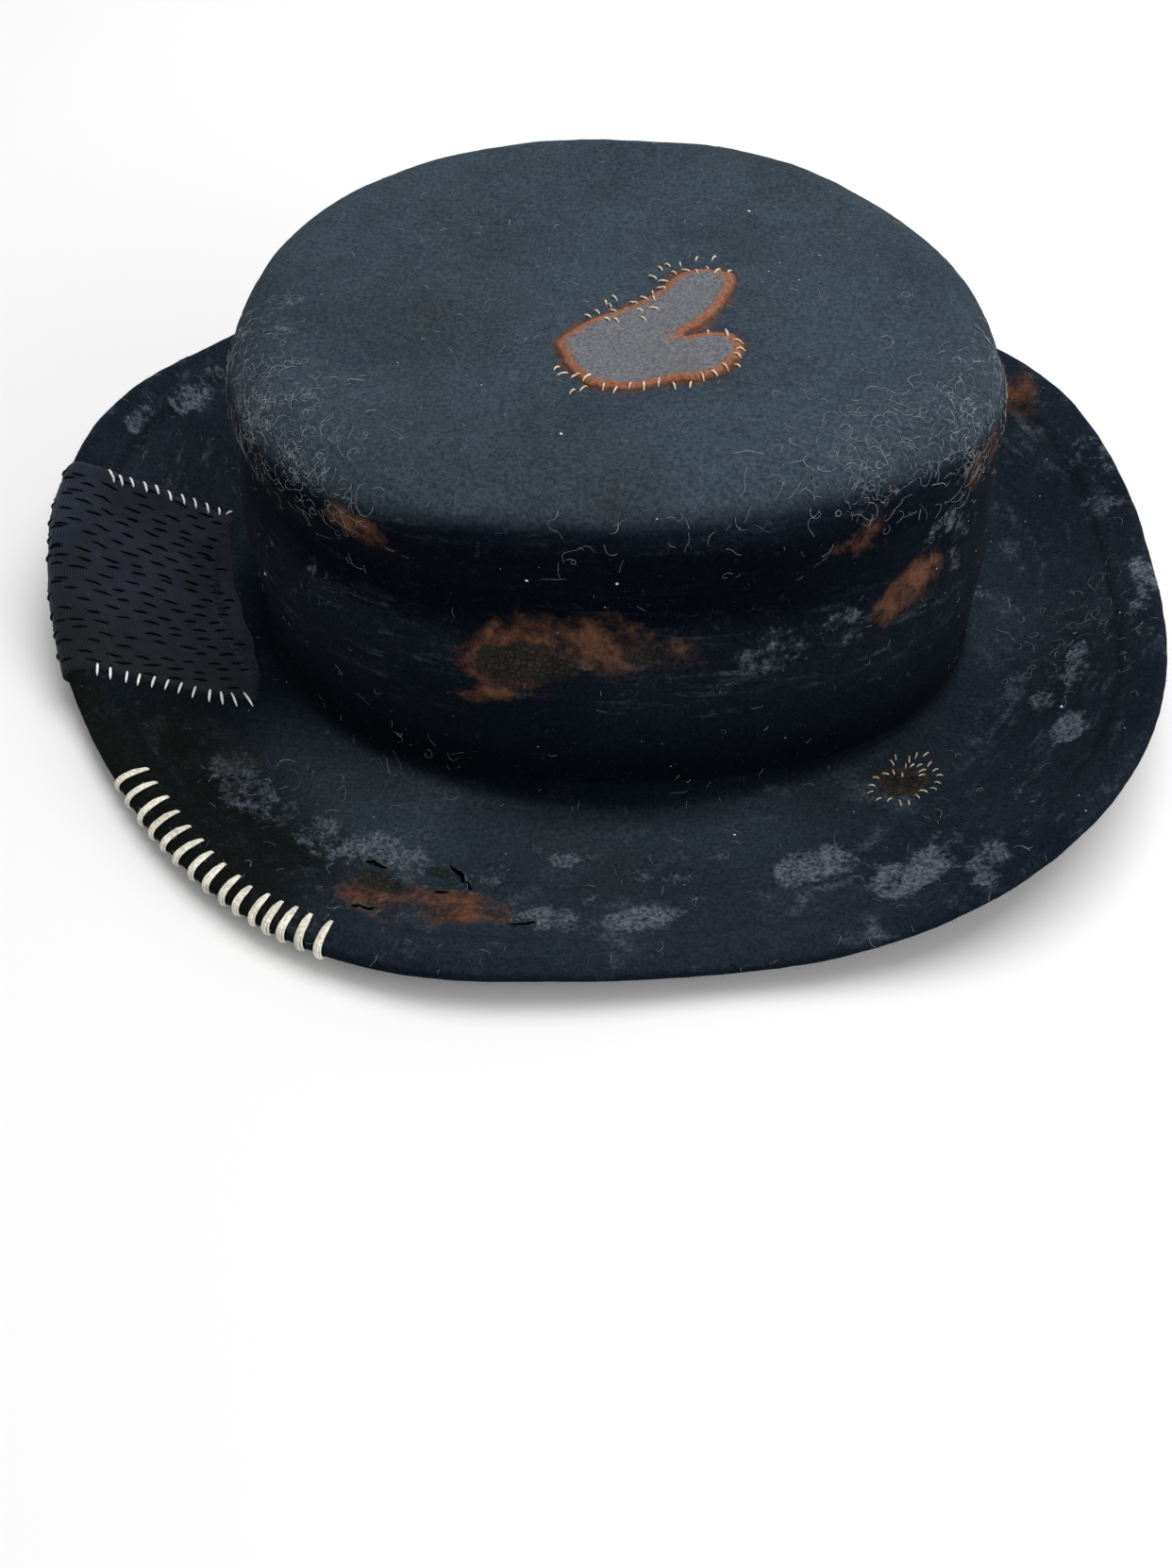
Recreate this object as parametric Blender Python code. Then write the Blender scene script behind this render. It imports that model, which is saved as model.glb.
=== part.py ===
"""A hand-worked felt hat: flat-topped oval crown, wide flanged brim, sweatband and lining,
a stitched heart patch on the crown, a woven patch folded over the brim edge, a small darn and
a run of thick lacing over the edge.

Frame: metres, +Z up, the length of the hat along X with its front at -X, the resting plane
(underside of the brim round the head opening) at z = 0.
"""
import math

import bmesh
import bpy
from mathutils import Vector

MM = 0.001
OFFSET = (2.45 * MM, -6.5 * MM, 0.0)            # puts the middle of the hat's plan at the origin

# ---- driving dimensions -------------------------------------------------
CROWN_HALF_LENGTH = 103.2 * MM      # outside of the crown at the brim, front to back
CROWN_HALF_WIDTH = 90.3 * MM
CROWN_OVAL_POWER = 2.14             # 2 is an ellipse, more is squarer
CROWN_OVAL_WOBBLE = ((2, -0.0091, -0.0115), (3, 0.0122, -0.0229), (4, 0.0010, -0.0124))
CROWN_HEIGHT = 101.4 * MM           # resting plane to the flat top, outside
CROWN_EDGE_RADIUS = 16.7 * MM
CROWN_TAPER = 1.1 * MM              # how far the wall leans in at the top
CROWN_TOP_RISE_X = 1.8 * MM         # tilt of the flat top along the length
CROWN_TOP_RISE_Y = -0.9 * MM
CROWN_TOP_SHIFT = (-1.2 * MM, 0.2 * MM)
FELT = 3.0 * MM                     # felt thickness of crown and brim
RIM_FELT = 4.4 * MM                 # thickness of the welted brim edge
WELT_WIDTH = 10.5 * MM
BREAK_RADIUS = 4.0 * MM             # bend between wall and brim, outside
BRIM_WIDTH = 62.2 * MM
BRIM_WIDTH_WOBBLE = ((1, -0.3, 3.1), (2, -3.6, -0.4), (3, -1.7, -0.8), (4, 1.3, 0.0), (5, -2.9, 1.5), (6, -0.5, 0.7))
BRIM_FLAT = 12.0 * MM               # flat ring round the head opening
BRIM_BLEND = 0.42                   # share of the brim over which the flange bends up
BRIM_ANGLE = 13.3                   # mean rise of the flange, degrees
BRIM_ANGLE_WAVES = ((1, 0.7, 4.0), (2, 6.8, -5.1), (3, -2.0, 1.2), (4, 1.5, -1.1), (5, -3.0, -1.6))
BRIM_ANGLE_LEAST = 4.4
BRIM_ROLL = 1.1 * MM                # droop of the very edge
GROOVE_DEPTH = 4.6 * MM             # hand-pressed groove under the top edge
GROOVE_HEIGHT = 72.0 * MM
GROOVE_SPREAD = 11.0 * MM
BULGE_DEPTH = 2.0 * MM
BULGE_HEIGHT = 46.0 * MM
BULGE_SPREAD = 17.0 * MM
GAP = 0.3 * MM

ANGLES = 48                         # facets round the hat

SWEATBAND_HEIGHT = 36.0 * MM
SWEATBAND_FOOT = 4.6 * MM
SWEATBAND_LEATHER = 1.2 * MM
REED_RADIUS = 1.1 * MM
REED_HEIGHT = 2.3 * MM
LINING = 0.6 * MM
LINING_FOOT = 26.0 * MM             # lower edge, tucked behind the sweatband
LINING_GAP = 0.35 * MM
BOW_ANGLE = 0.0                     # the bow sits at the back of the hat, at +X

HEART_CENTRE = (9.5 * MM, -17.0 * MM)
HEART_POINTS = (                    # control points round the outline, from the left lobe
    (-21.0, -8.2), (-17.4, -17.5), (-11.4, -25.7), (-1.0, -26.9), (9.8, -23.4), (18.3, -20.8),
    (24.2, -13.7), (25.5, -6.7), (22.9, -1.1), (16.3, -0.7), (11.2, -2.7), (16.9, 4.5),
    (21.2, 15.1), (22.5, 24.6), (19.1, 28.0), (12.2, 28.5), (6.5, 24.9), (2.8, 18.3),
    (-1.9, 12.3), (-8.2, 7.1), (-14.3, 2.4), (-19.4, -3.9))
HEART_FELT = 0.6 * MM
HEART_STITCHES = 34
THREAD_RADIUS = 0.42 * MM

DARN_ANGLE = 316.0
DARN_IN = 55.2                      # mm in from the brim edge
DARN_LIFT = 0.55 * MM
DARN_HALF = (5.4 * MM, 4.2 * MM)
DARN_THICK = 0.5 * MM

PATCH_REAR = 179.3                  # angle of the patch's rear end at the brim edge, degrees
PATCH_REAR_SLANT = -0.133           # degrees per mm in from the edge
PATCH_FRONT = 205.5
PATCH_FRONT_SLANT = 0.0045          # degrees per mm squared in from the edge
PATCH_DEPTH = 51.0                  # mm in from the edge on the top side, at the two ends
PATCH_BULGE = 7.5                   # mm more at the middle, so that the inner edge runs straight
PATCH_UNDER = 20.0                  # mm folded under
PATCH_THICK = 0.8 * MM
PATCH_LIFT = 0.65 * MM
PATCH_STITCHES = 12

LACING_LOOPS = 15
LACING_START = 220.0                # degrees
LACING_END = 248.6
LACING_REACH_TOP = 11.6             # mm in from the edge
LACING_REACH_UNDER = 10.5
LACING_RADIUS = 1.3 * MM


def waves(t, base, terms, unit=1.0):
    return base + unit * sum(c * math.cos(k * t) + s * math.sin(k * t) for k, c, s in terms)


def power_cos(v, p):
    return math.copysign(abs(v) ** p, v)


def plan(t, inset=0.0):
    p = 2.0 / CROWN_OVAL_POWER
    m = waves(t, 1.0, CROWN_OVAL_WOBBLE)
    x = (CROWN_HALF_LENGTH - inset) * power_cos(math.cos(t), p) * m
    y = (CROWN_HALF_WIDTH - inset) * power_cos(math.sin(t), p) * m
    return x, y


def plan_normal(t):
    h = 0.02
    x0, y0 = plan(t - h)
    x1, y1 = plan(t + h)
    dx, dy = x1 - x0, y1 - y0
    n = math.hypot(dx, dy)
    return dy / n, -dx / n


def top_height(x, y):
    return CROWN_HEIGHT + CROWN_TOP_RISE_X * x / CROWN_HALF_LENGTH + CROWN_TOP_RISE_Y * y / CROWN_HALF_WIDTH


def front_weight(t):
    """1 on the front left of the crown, nothing behind."""
    return max(0.0, math.cos(t - math.radians(252.0))) ** 1.4


def wall_press(t, z):
    g = math.exp(-((z - GROOVE_HEIGHT) / GROOVE_SPREAD) ** 2)
    b = math.exp(-((z - BULGE_HEIGHT) / BULGE_SPREAD) ** 2)
    return BULGE_DEPTH * (0.75 + 0.25 * math.cos(t - math.radians(230.0))) * b - GROOVE_DEPTH * front_weight(t) * g


def outer_profile(t, n_edge=6, n_wall=9, n_bend=4, n_brim=9):
    """(distance out from the crown oval, height) from the rim of the flat top to the brim edge."""
    pts = []
    bx, by = plan(t)
    r = CROWN_EDGE_RADIUS
    lean = CROWN_TAPER
    nx, ny = plan_normal(t)
    for i in range(n_edge):
        a = math.pi / 2 * (1 - i / n_edge)
        d = -lean - r * (1 - math.cos(a))
        h = top_height(bx + nx * d, by + ny * d)
        pts.append((d, h - r + r * math.sin(a)))
    z1 = top_height(bx - nx * lean, by - ny * lean) - r
    z0 = FELT + BREAK_RADIUS
    for i in range(n_wall + 1):
        s = i / n_wall
        z = z1 + (z0 - z1) * s
        pts.append((-lean * (1 - s) + wall_press(t, z) * math.sin(math.pi * min(1, s * 1.0)) ** 0.5, z))
    for i in range(1, n_bend + 1):
        a = math.pi / 2 * i / n_bend
        pts.append((BREAK_RADIUS * (1 - math.cos(a)), FELT + BREAK_RADIUS * (1 - math.sin(a))))
    w = waves(t, BRIM_WIDTH, BRIM_WIDTH_WOBBLE, MM)
    al = math.radians(brim_angle(t))
    reach = w * math.cos(al)
    rise = w * math.sin(al)
    pts.append((BRIM_FLAT, FELT))
    for i in range(1, n_brim + 1):
        v = i / n_brim
        d = BRIM_FLAT + (reach - BRIM_FLAT) * v
        pts.append((d, FELT + brim_lift(v, rise)))
    return pts


def brim_angle(t):
    """Rise of the flange in degrees, never quite down to the resting plane."""
    a = waves(t, BRIM_ANGLE, BRIM_ANGLE_WAVES)
    return BRIM_ANGLE_LEAST + 1.2 * math.log(1 + math.exp((a - BRIM_ANGLE_LEAST) / 1.2))


def brim_lift(v, rise):
    s = v * v / (2 * BRIM_BLEND) if v < BRIM_BLEND else v - BRIM_BLEND / 2
    roll = BRIM_ROLL * (max(0.0, v - 0.88) / 0.12) ** 2
    return (rise + BRIM_ROLL) * s / (1 - BRIM_BLEND / 2) - roll


def wrap_path(t, n_brim=20, n_rim=8):
    """The brim's skin at angle t as (distance out, height, slope normal): top side from the
    flat ring to the edge, round the edge, and back along the underside."""
    top = outer_profile(t, 1, 1, 1, n_brim)[-n_brim - 2:]
    return skin(t, top, n_rim)


def skin(t, top, n_rim):
    run = [0.0]
    for a, b in zip(top, top[1:]):
        run.append(run[-1] + math.hypot(b[0] - a[0], b[1] - a[1]))
    normals = profile_normals(top)
    upper, lower = [], []
    for (d, z), (nd, nz), s in zip(top, normals, run):
        e = run[-1] - s
        if d < BRIM_FLAT - 1e-6:
            k = 0.0
        else:
            k = min(1.0, max(0.0, (WELT_WIDTH + 0.8 * MM - e) / (1.2 * MM)))
            k = k * k * (3 - 2 * k)
        grow = (RIM_FELT - FELT) / 2 * k
        upper.append((d + nd * grow, z + nz * grow, nd, nz))
        deep = FELT + grow
        lower.append((d - nd * deep, z - nz * deep, -nd, -nz))
    cd = (upper[-1][0] + lower[-1][0]) / 2
    cz = (upper[-1][1] + lower[-1][1]) / 2
    nd, nz = normals[-1]
    rim = []
    for i in range(1, n_rim):
        a = math.pi * i / n_rim
        ud = nd * math.cos(a) + nz * math.sin(a)
        uz = nz * math.cos(a) - nd * math.sin(a)
        rim.append((cd + ud * RIM_FELT / 2, cz + uz * RIM_FELT / 2, ud, uz))
    return upper, rim, lower


def profile_normals(pts):
    out = []
    for i in range(len(pts)):
        a = pts[max(0, i - 1)]
        b = pts[min(len(pts) - 1, i + 1)]
        dd, dz = b[0] - a[0], b[1] - a[1]
        n = math.hypot(dd, dz)
        out.append((-dz / n, dd / n))
    return out


def place(t, d, z):
    """From (angle, distance out from the oval, height) to x, y, z."""
    x, y = plan(t)
    nx, ny = plan_normal(t)
    k = min(1.0, max(0.0, z / CROWN_HEIGHT)) if d < 10 * MM else 0.0
    return (x + nx * d + CROWN_TOP_SHIFT[0] * k, y + ny * d + CROWN_TOP_SHIFT[1] * k, z)


def on_brim(t, e, lift):
    """Point at a skin distance e in from the brim edge (negative runs under the brim)."""
    upper, rim, lower = wrap_path(t)
    path = upper + rim + lower[::-1]
    run = [0.0]
    for a, b in zip(path, path[1:]):
        run.append(run[-1] + math.hypot(b[0] - a[0], b[1] - a[1]))
    edge = run[len(upper) - 1 + (len(rim) + 1) // 2]
    s = min(max(edge - e, 0.0), run[-1] - 1e-9)
    i = 0
    while run[i + 1] < s:
        i += 1
    f = (s - run[i]) / (run[i + 1] - run[i])
    a, b = path[i], path[i + 1]
    d, z, nd, nz = (p + (q - p) * f for p, q in zip(a, b))
    n = math.hypot(nd, nz)
    return place(t, d + nd / n * lift, z + nz / n * lift)


# ---- mesh helpers -------------------------------------------------------
def angles(n):
    return [2 * math.pi * i / n for i in range(n)]


def new_object(name, points, faces, colour, roughness, metallic=0.0):
    mesh = bpy.data.meshes.new(name)
    mesh.from_pydata([tuple(p) for p in points], [], faces)
    bm = bmesh.new()
    bm.from_mesh(mesh)
    bmesh.ops.recalc_face_normals(bm, faces=bm.faces)
    if bm.calc_volume(signed=True) < 0:
        bmesh.ops.reverse_faces(bm, faces=bm.faces)
    bm.to_mesh(mesh)
    bm.free()
    mesh.shade_smooth()
    mesh.set_sharp_from_angle(angle=math.radians(40))
    obj = bpy.data.objects.new(name, mesh)
    bpy.context.collection.objects.link(obj)
    mat = bpy.data.materials.new(name)
    mat.use_nodes = True
    shader = next(n for n in mat.node_tree.nodes if n.type == "BSDF_PRINCIPLED")
    shader.inputs["Base Color"].default_value = (*colour, 1.0)
    shader.inputs["Roughness"].default_value = roughness
    shader.inputs["Metallic"].default_value = metallic
    mesh.materials.append(mat)
    obj.parent = ROOT
    return obj


def ringed(name, rings, colour, roughness, pole_first=None, pole_last=None):
    """Closed body from rings of points; poles close the ends, or the rings join in a loop."""
    points = [p for ring in rings for p in ring]
    n = len(rings[0])
    faces = []
    m = len(rings)
    loop = pole_first is None
    for j in range(m if loop else m - 1):
        k = (j + 1) % m
        for i in range(n):
            h = (i + 1) % n
            faces.append((j * n + i, j * n + h, k * n + h, k * n + i))
    if not loop:
        points.append(pole_first)
        a = len(points) - 1
        points.append(pole_last)
        b = len(points) - 1
        for i in range(n):
            h = (i + 1) % n
            faces.append((a, h, i))
            faces.append(((m - 1) * n + i, (m - 1) * n + h, b))
    return new_object(name, points, faces, colour, roughness)


def sheet_solid(name, under, over, colour, roughness):
    """Closed body between two equal grids of points."""
    rows, cols = len(under), len(under[0])
    points = [p for row in under for p in row] + [p for row in over for p in row]
    off = rows * cols
    faces = []
    for r in range(rows - 1):
        for c in range(cols - 1):
            q = (r * cols + c, r * cols + c + 1, (r + 1) * cols + c + 1, (r + 1) * cols + c)
            faces.append(q[::-1])
            faces.append(tuple(off + v for v in q))
    rim = [(0, c) for c in range(cols)] + [(r, cols - 1) for r in range(1, rows)]
    rim += [(rows - 1, c) for c in range(cols - 2, -1, -1)] + [(r, 0) for r in range(rows - 2, 0, -1)]
    ids = [r * cols + c for r, c in rim]
    for a, b in zip(ids, ids[1:] + ids[:1]):
        faces.append((a, b, off + b, off + a))
    return new_object(name, points, faces, colour, roughness)


def tube_rings(path, radius, sides, closed):
    """Rings of a tube along a path, its frame carried along without twist."""
    pts = [Vector(p) for p in path]
    n = len(pts)
    tangents = []
    for i in range(n):
        ways = []
        if i or closed:
            ways.append((pts[i] - pts[i - 1]).normalized())
        if i < n - 1 or closed:
            ways.append((pts[(i + 1) % n] - pts[i]).normalized())
        tangents.append(sum(ways, Vector()).normalized())
    side = Vector((0.0, 0.0, 1.0)).cross(tangents[0])
    if side.length < 0.1:
        side = Vector((1.0, 0.0, 0.0)).cross(tangents[0])
    side.normalize()
    rings = []
    for p, t in zip(pts, tangents):
        side = (side - t * side.dot(t)).normalized()
        up = t.cross(side)
        rings.append([p + radius * (math.cos(a) * side + math.sin(a) * up) for a in angles(sides)])
    return rings, tangents


def tube(name, path, radius, sides, colour, roughness, closed=False):
    rings, tangents = tube_rings(path, radius, sides, closed)
    if closed:
        # turn the seam so that the last ring meets the first without a twist
        first, last = rings[0], rings[-1]
        shift = min(range(sides), key=lambda k: (first[k] - last[0]).length)
        n = sides
        m = len(rings)
        points = [p for ring in rings for p in ring]
        faces = []
        for j in range(m):
            k = (j + 1) % m
            s = shift if j == m - 1 else 0
            for i in range(n):
                h = (i + 1) % n
                faces.append((j * n + i, j * n + h, k * n + (h + s) % n, k * n + (i + s) % n))
        return new_object(name, points, faces, colour, roughness)
    ends = (Vector(path[0]) - tangents[0] * radius * 0.6, Vector(path[-1]) + tangents[-1] * radius * 0.6)
    return ringed(name, rings, colour, roughness, *ends)


def join_by_union(target, others):
    """Union other closed bodies into the target, one after another."""
    for other in others:
        mod = target.modifiers.new(other.name, "BOOLEAN")
        mod.operation = "UNION"
        mod.solver = "EXACT"
        mod.object = other
        other.hide_render = True
        other.display_type = "WIRE"


# ---- felt body: crown and brim blocked from one hood --------------------
CAP_RINGS = (0.28, 0.56, 0.82)


def cap_ring(inset, scale, drop):
    ring = []
    for t in angles(ANGLES):
        d, _ = outer_profile(t, 1, 1, 1, 1)[0]
        x, y, _ = place(t, d - inset, CROWN_HEIGHT)
        cx, cy = CROWN_TOP_SHIFT
        x, y = cx + (x - cx) * scale, cy + (y - cy) * scale
        ring.append((x, y, top_height(x, y) - drop))
    return ring


def felt_rings():
    outer, inner, rims = [], [], []
    for t in angles(ANGLES):
        pts = outer_profile(t, 5, 6, 3, 8)
        upper, rim, lower = skin(t, pts, 4)
        outer.append([place(t, d, z) for d, z, _, _ in upper])
        rims.append([place(t, d, z) for d, z, _, _ in rim])
        inner.append([place(t, d, z) for d, z, _, _ in lower])
    return [list(r) for r in (zip(*outer))], [list(r) for r in zip(*rims)], [list(r) for r in zip(*inner)]


def build_felt():
    outer, rims, inner = felt_rings()
    caps_out = [cap_ring(0, s, 0) for s in CAP_RINGS]
    caps_in = [cap_ring(0, s, FELT) for s in CAP_RINGS]
    cx, cy = CROWN_TOP_SHIFT
    top = (cx, cy, top_height(cx, cy))
    under = (cx, cy, top_height(cx, cy) - FELT)
    rings = caps_out + outer + rims + inner[::-1] + caps_in[::-1]
    return ringed("felt_body", rings, FELT_COLOUR, 0.95, top, under)


def inner_wall(t, depth, z_low):
    """Profile of a layer lying `depth` inside the outer skin: rounded edge, then the wall,
    carried straight down below the bend."""
    pts = outer_profile(t, 5, 6, 3, 8)
    normals = profile_normals(pts)
    inner = [(d - nd * depth, z - nz * depth) for (d, z), (nd, nz) in zip(pts, normals)]
    wall = [p for p in inner[:11]]
    foot = wall[-1][0]
    kept = [p for p in wall if p[1] > z_low + 1 * MM]
    below = [p for p in wall if p[1] <= z_low + 1 * MM]
    if below:
        a, b = kept[-1], below[0]
        f = (a[1] - z_low) / (a[1] - b[1])
        foot = a[0] + (b[0] - a[0]) * min(1.0, f)
    kept.append((foot, z_low))
    return kept


def wall_at(t, depth, z):
    prof = inner_wall(t, depth, 5 * MM)
    for a, b in zip(prof, prof[1:]):
        if b[1] <= z:
            f = (a[1] - z) / (a[1] - b[1])
            return a[0] + (b[0] - a[0]) * f
    return prof[-1][0]


def build_sweatband():
    outside = FELT + LINING_GAP + LINING + LINING_GAP
    heights = [SWEATBAND_FOOT + SWEATBAND_HEIGHT * k / 4 for k in range(5)]
    out, inn = [], []
    for z in heights:
        out.append([place(t, wall_at(t, outside, max(z, 9 * MM)), z) for t in angles(ANGLES)])
        inn.append([place(t, wall_at(t, outside, max(z, 9 * MM)) - SWEATBAND_LEATHER, z) for t in angles(ANGLES)])
    ringed("sweatband", out + inn[::-1], LEATHER_COLOUR, 0.55)
    centre = outside + SWEATBAND_LEATHER / 2
    path = [place(t, wall_at(t, centre, 9 * MM), REED_HEIGHT) for t in angles(ANGLES)]
    tube("sweatband_reed", path, REED_RADIUS, 6, RIBBON_COLOUR, 0.7, closed=True)


def build_bow():
    """A small flat ribbon bow on the inside of the sweatband at the back."""
    t = math.radians(BOW_ANGLE)
    depth = FELT + LINING_GAP * 2 + LINING + SWEATBAND_LEATHER
    z0 = 14 * MM
    nx, ny = plan_normal(t)
    sx, sy = -ny, nx
    outline = ((-9, 3.4), (-5, 3.0), (-1.6, 1.3), (1.6, 1.3), (5, 3.0), (9, 3.4),
               (8.6, -3.6), (4.6, -2.8), (1.5, -1.4), (-1.5, -1.4), (-4.6, -2.8), (-8.6, -3.6))
    front, back = [], []
    for u, v in outline:
        u, v = u * MM, v * MM
        z = z0 + v
        d = min(wall_at(t + da, depth, z) for da in (-0.12, 0.0, 0.12)) - 0.9 * MM
        for dist, out in ((d, back), (d - 1.0 * MM, front)):
            x, y, _ = place(t, dist, z)
            out.append((x + sx * u, y + sy * u, z))
    n = len(outline)
    faces = [tuple(range(n))[::-1], tuple(range(n, 2 * n))]
    faces += [(i, (i + 1) % n, n + (i + 1) % n, n + i) for i in range(n)]
    new_object("sweatband_bow", back + front, faces, RIBBON_COLOUR, 0.6)


def build_lining():
    depth = FELT + LINING_GAP
    sides_out = [inner_wall(t, depth, LINING_FOOT) for t in angles(ANGLES)]
    sides_in = [inner_wall(t, depth + LINING, LINING_FOOT) for t in angles(ANGLES)]
    skip = 2                        # the tip piece takes the first rows of the rounded edge
    n = min(min(len(p) for p in sides_out), min(len(p) for p in sides_in))

    def rows(profiles, first):
        out = []
        for k in range(first, n - 1):
            out.append([place(t, *p[k]) for t, p in zip(angles(ANGLES), profiles)])
        out.append([place(t, *p[-1]) for t, p in zip(angles(ANGLES), profiles)])
        return out

    side_o, side_i = rows(sides_out, skip), rows(sides_in, skip)
    ringed("lining_side", side_o + side_i[::-1], SATIN_COLOUR, 0.35)

    caps_out = [cap_ring(0, s, depth) for s in CAP_RINGS]
    caps_in = [cap_ring(0, s, depth + LINING) for s in CAP_RINGS]
    edge = []
    for profiles in (sides_out, sides_in):
        ring0 = [place(t, *p[0]) for t, p in zip(angles(ANGLES), profiles)]
        ring1 = [place(t, p[0][0] + (p[1][0] - p[0][0]) * 0.85, p[0][1] + (p[1][1] - p[0][1]) * 0.85)
                 for t, p in zip(angles(ANGLES), profiles)]
        edge.append((ring0, ring1))
    cx, cy = CROWN_TOP_SHIFT
    top = (cx, cy, top_height(cx, cy) - depth)
    under = (cx, cy, top_height(cx, cy) - depth - LINING)
    rings = caps_out + [edge[0][0], edge[0][1], edge[1][1], edge[1][0]] + caps_in[::-1]
    ringed("lining_tip", rings, SATIN_COLOUR, 0.35, top, under)


# ---- heart patch and its whip stitch ------------------------------------
def spline_closed(points, per):
    out = []
    n = len(points)
    for i in range(n):
        p0, p1, p2, p3 = (points[(i + k) % n] for k in (-1, 0, 1, 2))
        for j in range(per):
            s = j / per
            out.append(tuple(
                0.5 * (2 * b + (c - a) * s + (2 * a - 5 * b + 4 * c - d) * s * s + (3 * b - a - 3 * c + d) * s ** 3)
                for a, b, c, d in zip(p0, p1, p2, p3)))
    return out


def heart_outline(per):
    return [(HEART_CENTRE[0] + x * MM, HEART_CENTRE[1] + y * MM)
            for x, y in spline_closed(HEART_POINTS, per)]


def prism_on_top(name, outline, low, high, colour, roughness, height=top_height):
    n = len(outline)
    points = [(x, y, height(x, y) + low) for x, y in outline]
    points += [(x, y, height(x, y) + high) for x, y in outline]
    faces = [tuple(range(n))[::-1], tuple(range(n, 2 * n))]
    faces += [(i, (i + 1) % n, n + (i + 1) % n, n + i) for i in range(n)]
    return new_object(name, points, faces, colour, roughness)


def whip_path(outline, stitches, outside, inside, low, high, height):
    """A closed trapezoid wave that crosses the outline twice for each stitch."""
    pts = [Vector((x, y, 0.0)) for x, y in outline]
    n = len(pts)
    run = [0.0]
    for i in range(n):
        run.append(run[-1] + (pts[(i + 1) % n] - pts[i]).length)

    def at(s):
        s %= run[-1]
        i = 0
        while run[i + 1] < s:
            i += 1
        f = (s - run[i]) / (run[i + 1] - run[i])
        a, b = pts[i], pts[(i + 1) % n]
        a0, b1 = pts[i - 1], pts[(i + 2) % n]
        t = (b - a0).normalized() * (1 - f) + (b1 - a).normalized() * f
        t.normalize()
        return a + (b - a) * f, Vector((t.y, -t.x, 0.0))

    path = []
    for k in range(stitches):
        for f, off, lift in ((0.0, outside, low), (0.34, outside, low), (0.5, -inside, high), (0.84, -inside, high)):
            p, out = at(run[-1] * (k + f) / stitches)
            q = p + out * off
            path.append((q.x, q.y, height(q.x, q.y) + lift))
    return path


def build_heart():
    outline = heart_outline(2)
    prism_on_top("heart_patch", outline, GAP, GAP + HEART_FELT, PATCH_GREY, 0.95)
    low = 1.25 * MM
    high = 2 * GAP + HEART_FELT + THREAD_RADIUS + 0.1 * MM
    path = whip_path(heart_outline(4), HEART_STITCHES, 2.4 * MM, 1.7 * MM, low, high, top_height)
    tube("heart_thread", path, THREAD_RADIUS, 5, THREAD_COLOUR, 0.8, closed=True)


# ---- darn on the brim ---------------------------------------------------
def build_darn():
    t = math.radians(DARN_ANGLE)
    e = DARN_IN * MM
    centre = Vector(on_brim(t, e, 0.0))
    along = (Vector(on_brim(t + 0.03, e, 0.0)) - Vector(on_brim(t - 0.03, e, 0.0))).normalized()
    inward = (Vector(on_brim(t, e + 3 * MM, 0.0)) - Vector(on_brim(t, e - 3 * MM, 0.0))).normalized()
    out = along.cross(inward).normalized()
    if out.z < 0:
        out = -out
    a, b = DARN_HALF

    def spot(u, v, lift):
        return centre + along * u + inward * v + out * lift

    n = 16
    ring = [(a * math.cos(w), b * math.sin(w)) for w in angles(n)]
    points = [spot(u, v, DARN_LIFT) for u, v in ring] + [spot(u, v, DARN_LIFT + DARN_THICK) for u, v in ring]
    faces = [tuple(range(n))[::-1], tuple(range(n, 2 * n))]
    faces += [(i, (i + 1) % n, n + (i + 1) % n, n + i) for i in range(n)]
    new_object("darn_patch", points, faces, RUST_COLOUR, 0.95)
    path = []
    rows = 5
    lift = DARN_LIFT + DARN_THICK + GAP + THREAD_RADIUS
    for k in range(rows):
        v = (k - (rows - 1) / 2) / rows * 2 * b * 1.05
        u = a * math.sqrt(max(0.1, 1 - (v / b / 1.25) ** 2)) * 1.1
        for w in ((-u, u) if k % 2 == 0 else (u, -u)):
            path.append(spot(w, v, lift))
    tube("darn_thread", path, THREAD_RADIUS, 5, THREAD_COLOUR, 0.8)


# ---- woven patch folded over the brim edge ------------------------------
def patch_angle(p, e):
    e = abs(e)
    rear = PATCH_REAR + PATCH_REAR_SLANT * e
    front = PATCH_FRONT + PATCH_FRONT_SLANT * e * e
    return math.radians(rear + (front - rear) * p)


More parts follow.
